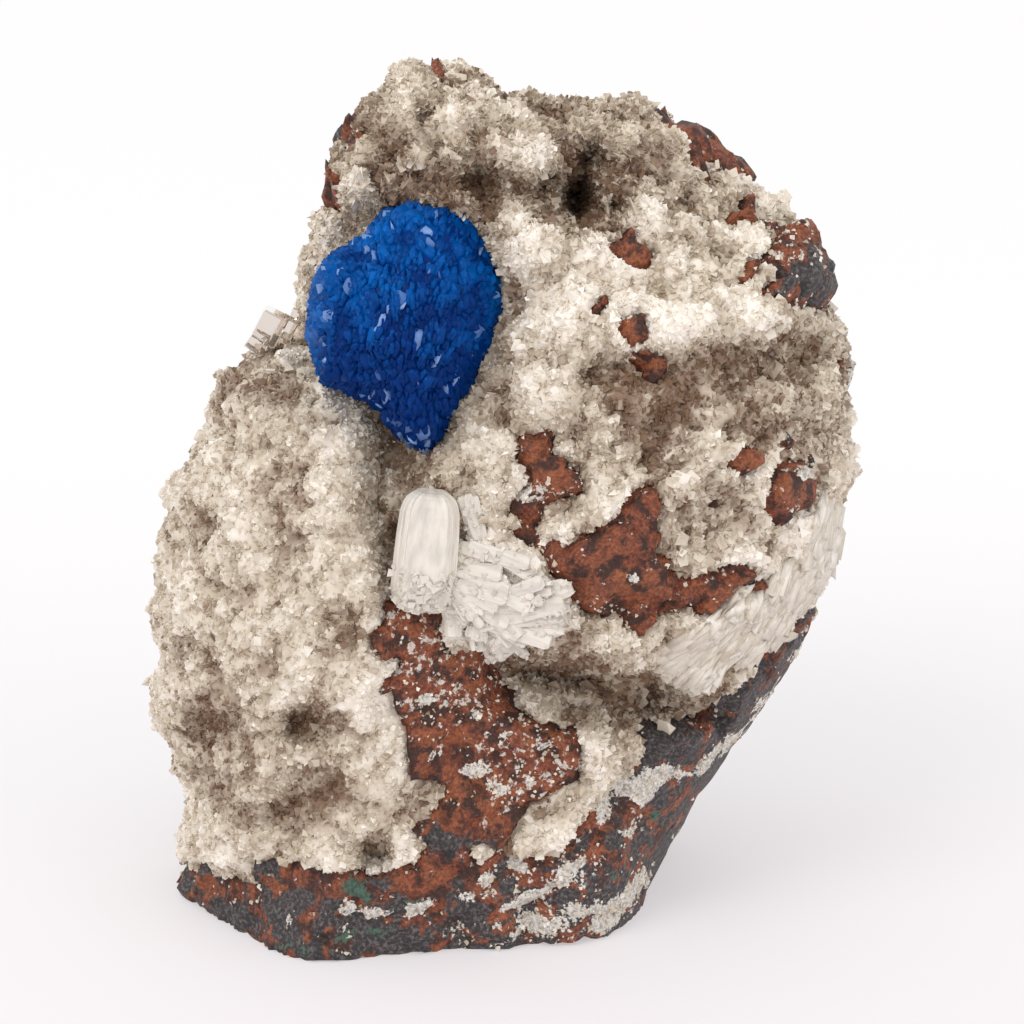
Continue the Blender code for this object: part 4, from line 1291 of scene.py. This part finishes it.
def make_stilbite(look):
    """Makes the upright crystal, the fan of bladed bundles beside it, and the small crystals at its foot."""
    material = stilbite_material(look)
    chance = np.random.default_rng(SEEDS["stilbite"])
    foot, head = place(COLUMN_FOOT, COLUMN_LIFTS[0]), place(COLUMN_HEAD, COLUMN_LIFTS[1])
    points, faces, grain = lath(
        foot, head, (COLUMN_HALF_WIDTH, COLUMN_HALF_DEPTH), COLUMN_PROFILE, COLUMN_RISE, COLUMN_RIBS, chance
    )
    upright = lean(points)
    finish_stilbite("stilbite_upright", "stilbite_column", [(upright, faces, grain)], material)
    covered = np.clip(1 - (points[:, 1] - points[:, 1].min()) / COLLAR_HEIGHT, 0, 1)
    quads = faces[0]
    weights = covered[quads].mean(axis=1)
    collar = sugar((upright, quads), weights, look.collar, COLLAR_FORM, COLLAR_SIZE, chance)
    finish_stilbite("stilbite_collar", "stilbite_column", [collar], material)

    laths = []
    for start, end, low, high, half_width in FAN_BUNDLES:
        for _ in range(look.blades):
            begin = np.array(start) + chance.uniform(*FOOT_STRAY, 2)
            begin = place(begin, low - chance.uniform(0, FOOT_SUNK))
            tip = np.array(end) + chance.uniform(*TIP_STRAY, 2)
            tip = place(tip, high - chance.uniform(0, TIP_SUNK))
            half_sizes = half_width * chance.uniform(*FAN_SHARES), chance.uniform(*FAN_HALF_DEPTHS)
            laths.append(lath(begin, tip, half_sizes, FAN_PROFILE, BLADE_RISE, FAN_RIBS, chance))
    points, faces, grain = join(laths)
    fan = lean(points)
    quads = faces[0]
    grains = sugar((fan, quads), np.ones(len(quads)), look.sugar, SUGAR_FORM, SUGAR_SIZE, chance)
    finish_stilbite("stilbite_fan", "stilbite_sheaf", [(fan, faces, grain), grains], material)


def make_apophyllite():
    """Makes the clear blocks: an eight-cornered profile carried up a short axis."""
    chance = np.random.default_rng(SEEDS["apophyllite"])
    blocks = []
    for middle, lift, (wide, tall, deep), turns in BLOCKS:
        across, up = (math.radians(turn) for turn in turns)
        axis = np.array([math.sin(up), math.cos(up) * math.cos(across), math.sin(across)])
        reach = axis / np.linalg.norm(axis) * tall
        spot = place(middle, lift)
        blocks.append(lath(spot - reach, spot + reach, (wide, deep), 1, BLOCK_RISE, 0.0, chance, BLOCK_SIDES))
    points, faces, _ = join(blocks)
    piece = finish_mesh("apophyllite", lean(points), faces)
    settle(piece, "apophyllite_crystals", apophyllite_material())


def add_node(material, kind, settings=None, inputs=None):
    """Adds a node with its settings, and fills its inputs with plain values or other nodes' outputs."""
    node = material.node_tree.nodes.new(kind)
    for key, value in (settings or {}).items():
        setattr(node, key, value)
    for key, value in (inputs or {}).items():
        if isinstance(value, bpy.types.NodeSocket):
            material.node_tree.links.new(value, node.inputs[key])
        else:
            node.inputs[key].default_value = value
    return node


def new_material(name):
    """Starts an empty material with nodes."""
    material = bpy.data.materials.new(name)
    material.use_nodes = True
    material.node_tree.nodes.clear()
    return material


def per_metre(millimetres):
    """Scale of a noise whose hills lie a number of millimetres apart, on coordinates in metres."""
    return 1 / (millimetres * METRE)


def put_surface(material, inputs):
    """Ends a material with its surface shader."""
    shader = add_node(material, "ShaderNodeBsdfPrincipled", None, inputs)
    add_node(material, "ShaderNodeOutputMaterial", None, {"Surface": shader.outputs["BSDF"]})
    return material


def basalt_material(look):
    """Vesicular basalt, broken and weathered: dull dark grey under ragged patches of rust-red crust, with
    glossier white zeolite fillings and green celadonite in its old gas bubbles. Painted shade darkens the
    hollows of its bump and its pits, and painted highlights lighten the rust's high grains."""
    material = new_material("weathered basalt")
    spot = add_node(material, "ShaderNodeTexCoord").outputs["Object"]
    # hills in mm from one to the next, from regions down to grit
    regions, stains, blotches, specks, grit = (
        add_node(
            material, "ShaderNodeTexNoise", None,
            {"Vector": spot, "Scale": per_metre(size), "Detail": 5.0, "Roughness": 0.64},
        ).outputs["Fac"]
        for size in (3.8, 2.2, 1.5, 0.8, 0.3)
    )  # fmt: skip
    rust, dust, hollow, green, white = (
        add_node(material, "ShaderNodeAttribute", {"attribute_name": key}).outputs["Fac"]
        for key in ("rust", "dust", "hollow", "green", "white")
    )
    fade, mix, sum_up = "ShaderNodeMapRange", "ShaderNodeMix", "ShaderNodeMath"
    plain, darken = {"data_type": "RGBA"}, {"data_type": "RGBA", "blend_type": "MULTIPLY"}
    # gives its first input times its second, plus its third
    plus = {"operation": "MULTIPLY_ADD"}

    # rust runs from red brown to ochre by region, its own mottling; it is near black in the hollows of the
    # bump, painted shade, and ochre on its high grains, painted highlights
    warm = add_node(material, fade, None, {VALUE: regions, LOW: 0.46, HIGH: 0.58, HIGH_BECOMES: 0.8})
    red = add_node(material, mix, plain, {SHARE: warm.outputs[0], UNDER: look.rust, OVER: look.ochre_and_highlight})
    unburnt_unshaded = add_node(material, fade, None, {VALUE: blotches, LOW: 0.43, HIGH: 0.53}).outputs[0]
    red = add_node(material, mix, plain, {SHARE: unburnt_unshaded, UNDER: look.burnt_and_shade, OVER: red.outputs[MIXED]})
    high = add_node(material, sum_up, {"operation": "ADD"}, {0: blotches, 1: grit}).outputs[0]
    high = add_node(material, fade, None, {VALUE: high, LOW: 1.04, HIGH: 1.24, HIGH_BECOMES: 0.8}).outputs[0]
    red = add_node(material, mix, plain, {SHARE: high, UNDER: red.outputs[MIXED], OVER: look.ochre_and_highlight})

    # fresh basalt is dark grey with paler feldspar grains
    grains = add_node(material, fade, None, {VALUE: grit, LOW: 0.48, HIGH: 0.66, HIGH_BECOMES: 0.75})
    grey = add_node(material, mix, plain, {SHARE: grains.outputs[0], UNDER: look.grey, OVER: look.feldspar})
    reach = add_node(material, sum_up, plus, {0: rust, 1: 0.22, 2: stains}).outputs[0]
    rusted = add_node(material, fade, None, {VALUE: reach, LOW: 0.5, HIGH: 0.55}).outputs[0]
    both = {SHARE: rusted, UNDER: grey.outputs[MIXED], OVER: red.outputs[MIXED]}
    colour = add_node(material, mix, plain, both).outputs[MIXED]

    # pale crust is left in clustered specks, thick where the basalt is dusted
    left = add_node(material, sum_up, plus, {0: stains, 1: 0.5, 2: specks}).outputs[0]
    left = add_node(material, sum_up, plus, {0: dust, 1: 0.16, 2: left}).outputs[0]
    left = add_node(material, fade, None, {VALUE: left, LOW: 0.92, HIGH: 0.97, HIGH_BECOMES: 0.85}).outputs[0]
    # painted shade: the grit is darker between its grains, where its bump is low, and a pit is dark at its
    # bottom
    grain_gap_shade = {VALUE: grit, LOW: 0.38, HIGH: 0.6, LOW_BECOMES: 0.62, HIGH_BECOMES: 1.2}
    sunk = {VALUE: hollow, LOW: 0.0, HIGH: 0.3, LOW_BECOMES: 1.0, HIGH_BECOMES: 0.35}
    grain_gap_shade, sunk = (add_node(material, fade, None, ends).outputs[0] for ends in (grain_gap_shade, sunk))
    for kind, share, over in ((darken, 1.0, grain_gap_shade), (plain, left, look.white), (darken, 1.0, sunk)):
        colour = add_node(material, mix, kind, {SHARE: share, UNDER: colour, OVER: over}).outputs[MIXED]

    # fillings have ragged edges, and painted shade darkens them between their grains, where the bump is low
    filling_gap_shade = {VALUE: grit, LOW: 0.4, HIGH: 0.55, LOW_BECOMES: 0.5, HIGH_BECOMES: 1.05}
    filling_gap_shade = add_node(material, fade, None, filling_gap_shade).outputs[0]
    edge = add_node(material, sum_up, plus, {0: specks, 1: 1.3, 2: grit}).outputs[0]
    for place, paint in ((green, look.green), (white, look.white)):
        shown = add_node(material, sum_up, {"operation": "ADD"}, {0: place, 1: edge}).outputs[0]
        shown = add_node(material, fade, None, {VALUE: shown, LOW: 1.15, HIGH: 1.23}).outputs[0]
        filling = add_node(material, mix, darken, {SHARE: 1.0, UNDER: paint, OVER: filling_gap_shade}).outputs[MIXED]
        colour = add_node(material, mix, plain, {SHARE: shown, UNDER: colour, OVER: filling}).outputs[MIXED]
    rough = add_node(material, fade, None, {VALUE: shown, LOW_BECOMES: 0.62, HIGH_BECOMES: 0.3}).outputs[0]

    # grain too fine for the grid: blotches 0.7 mm deep under grit of 0.2 mm
    coarse = {"Strength": 1.0, "Distance": 0.7 * METRE, "Height": blotches}
    coarse = add_node(material, "ShaderNodeBump", None, coarse).outputs["Normal"]
    fine = {"Strength": 0.9, "Distance": 0.2 * METRE, "Height": grit, "Normal": coarse}
    bump = add_node(material, "ShaderNodeBump", None, fine).outputs["Normal"]
    return put_surface(material, {"Base Color": colour, "Roughness": rough, "IOR": 1.5, "Normal": bump})


def druse_material(look, name, see_through):
    """Zeolite druse, grown as sugar-sized crystals: glassy white where clean, grey beige over most of the
    crust and brown in its creases, partly stain and partly painted shade, so each face gives a small bright
    glint."""
    material = new_material(name)
    spot = add_node(material, "ShaderNodeTexCoord").outputs["Object"]
    tone = add_node(material, "ShaderNodeAttribute", {"attribute_name": "tone"}).outputs["Fac"]
    # film of dust and stain in patches about 0.6 mm across
    film = {"Vector": spot, "Scale": per_metre(0.6), "Detail": 3.0}
    film = add_node(material, "ShaderNodeTexNoise", None, film).outputs["Fac"]
    film = add_node(
        material, "ShaderNodeMath", {"operation": "MULTIPLY_ADD"}, {0: film, 1: 0.5, 2: -0.25}
    ).outputs[0]
    shade = add_node(material, "ShaderNodeMath", {"operation": "ADD"}, {0: tone, 1: film}).outputs[0]
    colour = look.white
    for low, high, paint in ((0.0, 0.5, look.beige), (0.5, 1.0, look.brown_and_crease_shade)):
        reach = {VALUE: shade, LOW: low, HIGH: high}
        reach = add_node(material, "ShaderNodeMapRange", None, reach).outputs[0]
        under = {SHARE: reach, UNDER: colour, OVER: paint}
        colour = add_node(material, "ShaderNodeMix", {"data_type": "RGBA"}, under).outputs[MIXED]
    surface = {"Base Color": colour, "Roughness": 0.16, "IOR": 1.5, "Transmission Weight": see_through}
    return put_surface(material, surface)


def cavansite_material(look):
    """Cavansite, grown as glassy blades: deep saturated blue with a faint gloss on each blade, lighter up the
    ball and at its left rim and deep between the blades by painted light and shade, and a few blades with
    painted pale glints."""
    material = new_material("cavansite")
    colour = look.deep
    # the blades' blue carries painted light and the deep blue painted shade; the pale blue is painted glints
    for key, paint in (("shade", look.blue), ("pale", look.pale)):
        share = add_node(material, "ShaderNodeAttribute", {"attribute_name": key}).outputs["Fac"]
        under = {SHARE: share, UNDER: colour, OVER: paint}
        colour = add_node(material, "ShaderNodeMix", {"data_type": "RGBA"}, under).outputs[MIXED]
    # glossier blades mirror the white room and turn the blue to grey
    surface = {"Base Color": colour, "Roughness": 0.18, "IOR": 1.5, "Specular IOR Level": 0.08}
    return put_surface(material, surface)


def stilbite_material(look):
    """Stilbite, grown as bundles of laths: white and pearly, a little light passing through, with fine
    grooves along the length."""
    material = new_material("stilbite")
    spot = add_node(material, "ShaderNodeTexCoord").outputs["Object"]
    # growth streaks 0.35 mm apart across each crystal and ten times as long, by its own grain in mm
    grain = add_node(material, "ShaderNodeAttribute", {"attribute_name": "grain"}).outputs["Fac"]
    across = add_node(material, "ShaderNodeMath", {"operation": "MULTIPLY"}, {0: grain, 1: METRE}).outputs[0]
    across = add_node(material, "ShaderNodeCombineXYZ", None, {"X": across}).outputs["Vector"]
    drawn = {0: spot, 1: (0.1, 0.1, 0.1), 2: across}
    along = add_node(material, "ShaderNodeVectorMath", {"operation": "MULTIPLY_ADD"}, drawn).outputs["Vector"]
    clouds = {"Vector": along, "Scale": per_metre(0.35), "Detail": 4.0, "Roughness": 0.6}
    clouds = add_node(material, "ShaderNodeTexNoise", None, clouds).outputs["Fac"]
    streaks = add_node(material, "ShaderNodeMapRange", None, {VALUE: clouds, LOW: 0.4, HIGH: 0.8}).outputs[0]
    grey = tuple(0.6 * part for part in look.white[:3]) + (1.0,)
    under = {SHARE: streaks, UNDER: look.white, OVER: grey}
    colour = add_node(material, "ShaderNodeMix", {"data_type": "RGBA"}, under).outputs[MIXED]
    surface = {"Base Color": colour, "Roughness": 0.24, "IOR": 1.5, "Transmission Weight": 0.12}
    return put_surface(material, surface)


def apophyllite_material():
    """Apophyllite, grown as small clear blocks: water clear, with sharp reflections."""
    clear = {"Base Color": linear("#e2d8cf"), "Roughness": 0.04, "IOR": 1.535, "Transmission Weight": 1.0}
    return put_surface(new_material("apophyllite"), clear)


def paper_material(look):
    """Matt paper on a light table: slightly pink and darker in front and white behind, the paler far end
    being painted light, with its own soft light, so a shadow on it stays faint."""
    material = new_material("matt paper")
    spot = add_node(material, "ShaderNodeTexCoord").outputs["Object"]
    depth = add_node(material, "ShaderNodeSeparateXYZ", None, {0: spot}).outputs["Y"]
    behind = add_node(material, "ShaderNodeMapRange", None, {VALUE: depth, LOW: -0.05, HIGH: 0.1}).outputs[0]
    under = {SHARE: behind, UNDER: look.near, OVER: look.far}
    colour = add_node(material, "ShaderNodeMix", {"data_type": "RGBA"}, under).outputs[MIXED]
    glow = {"Emission Color": colour, "Emission Strength": PAPER_GLOW}
    return put_surface(material, {"Base Color": colour, "Roughness": 0.9, **glow})


def make_stage(look):
    """Makes the paper floor, the lights and the camera, which looks straight at the display face."""
    scene = bpy.context.scene
    corners = FLOOR_REACH * np.array([[-1, -1, 0], [1, -1, 0], [1, 1, 0], [-1, 1, 0]])
    floor = finish_mesh("paper_floor", corners, [np.array([[0, 1, 2, 3]])])
    floor.data.materials.append(paper_material(look))
    floor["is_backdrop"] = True

    middle = PICTURE_SIZE / 2
    across, up = (middle - FACE_ORIGIN[0]) * UNIT, (FACE_ORIGIN[1] - middle) * UNIT
    outward = np.array([0, -math.cos(FACE_LEAN), math.sin(FACE_LEAN)])
    camera_data = bpy.data.cameras.new("camera")
    camera_data.sensor_width = SENSOR_WIDTH
    camera_data.lens = SENSOR_WIDTH * look.distance / (PICTURE_SIZE * UNIT * METRE)
    camera_data.clip_end = 20.0
    camera = bpy.data.objects.new("camera", camera_data)
    camera.location = lean([[across, up, AIM_OUT]])[0] + outward * look.distance
    camera.rotation_euler = (math.pi / 2 - FACE_LEAN, 0, 0)
    scene.collection.objects.link(camera)
    scene.camera = camera

    for name, spot, power, width in LIGHTS:
        light_data = bpy.data.lights.new(name, "AREA")
        light_data.energy = power
        light_data.size = width
        light = bpy.data.objects.new(name, light_data)
        light.location = spot
        light.rotation_euler = Vector(spot).to_track_quat("Z", "Y").to_euler()
        scene.collection.objects.link(light)
    scene.world = bpy.data.worlds.new("studio")
    scene.world.use_nodes = True
    room = scene.world.node_tree.nodes["Background"].inputs
    room["Color"].default_value = (1.0, 1.0, 1.0, 1.0)
    room["Strength"].default_value = ROOM_LIGHT
    scene.view_settings.view_transform = "Standard"


class SPECIMEN_OT_basalt(bpy.types.Operator):
    """Build the weathered basalt with its amygdules and veins"""

    bl_idname = "specimen.basalt"
    bl_label = "Basalt"

    def execute(self, context):
        make_basalt(context.scene.specimen_basalt)
        return {"FINISHED"}


class SPECIMEN_OT_druse(bpy.types.Operator):
    """Build the zeolite crust and the small crystals on it"""

    bl_idname = "specimen.druse"
    bl_label = "Druse"

    def execute(self, context):
        make_druse(context.scene.specimen_druse, rock_surface(context.scene.specimen_basalt.step))
        return {"FINISHED"}


class SPECIMEN_OT_cavansite(bpy.types.Operator):
    """Build the ball of cavansite blades"""

    bl_idname = "specimen.cavansite"
    bl_label = "Cavansite"

    def execute(self, context):
        make_ball(context.scene.specimen_cavansite)
        return {"FINISHED"}


class SPECIMEN_OT_stilbite(bpy.types.Operator):
    """Build the upright stilbite crystal and the fan at its foot"""

    bl_idname = "specimen.stilbite"
    bl_label = "Stilbite"

    def execute(self, context):
        make_stilbite(context.scene.specimen_stilbite)
        return {"FINISHED"}


class SPECIMEN_OT_apophyllite(bpy.types.Operator):
    """Build the clear blocky crystals at the left of the ball"""

    bl_idname = "specimen.apophyllite"
    bl_label = "Apophyllite"

    def execute(self, context):
        make_apophyllite()
        return {"FINISHED"}


class SPECIMEN_OT_stage(bpy.types.Operator):
    """Set the floor, the lights and the camera"""

    bl_idname = "specimen.stage"
    bl_label = "Stage"

    def execute(self, context):
        make_stage(context.scene.specimen_stage)
        return {"FINISHED"}


LOOKS = {
    "specimen_basalt": BasaltLook,
    "specimen_druse": DruseLook,
    "specimen_cavansite": CavansiteLook,
    "specimen_stilbite": StilbiteLook,
    "specimen_stage": StageLook,
}
OPERATORS = (
    SPECIMEN_OT_stage,
    SPECIMEN_OT_basalt,
    SPECIMEN_OT_druse,
    SPECIMEN_OT_cavansite,
    SPECIMEN_OT_stilbite,
    SPECIMEN_OT_apophyllite,
)


class SPECIMEN_PT_panel(bpy.types.Panel):
    """Lists the specimen's parts and their sizes and colours"""

    bl_idname = "SPECIMEN_PT_panel"
    bl_label = "Cavansite specimen"
    bl_space_type = "VIEW_3D"
    bl_region_type = "UI"
    bl_category = "Specimen"

    def draw(self, context):
        for key, look in LOOKS.items():
            box = self.layout.box()
            for setting in look.__annotations__:
                box.prop(getattr(context.scene, key), setting)
        for operator in OPERATORS:
            self.layout.operator(operator.bl_idname)


def register():
    """Makes the settings, operators and panel known to Blender."""
    for key, look in LOOKS.items():
        bpy.utils.register_class(look)
        setattr(bpy.types.Scene, key, PointerProperty(type=look))
    for operator in OPERATORS:
        bpy.utils.register_class(operator)
    bpy.utils.register_class(SPECIMEN_PT_panel)


def unregister():
    """Takes them away again."""
    bpy.utils.unregister_class(SPECIMEN_PT_panel)
    for operator in reversed(OPERATORS):
        bpy.utils.unregister_class(operator)
    for key, look in reversed(LOOKS.items()):
        delattr(bpy.types.Scene, key)
        bpy.utils.unregister_class(look)


def main():
    """Builds everything in order."""
    register()
    bpy.ops.specimen.stage()
    bpy.ops.specimen.basalt()
    bpy.ops.specimen.druse()
    bpy.ops.specimen.cavansite()
    bpy.ops.specimen.stilbite()
    bpy.ops.specimen.apophyllite()
    boxes = {"cad": CAD_BOUNDS, "visual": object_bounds()}
    plain = {name: [[float(part) for part in corner] for corner in box] for name, box in boxes.items()}


if __name__ == "__main__":
    main()
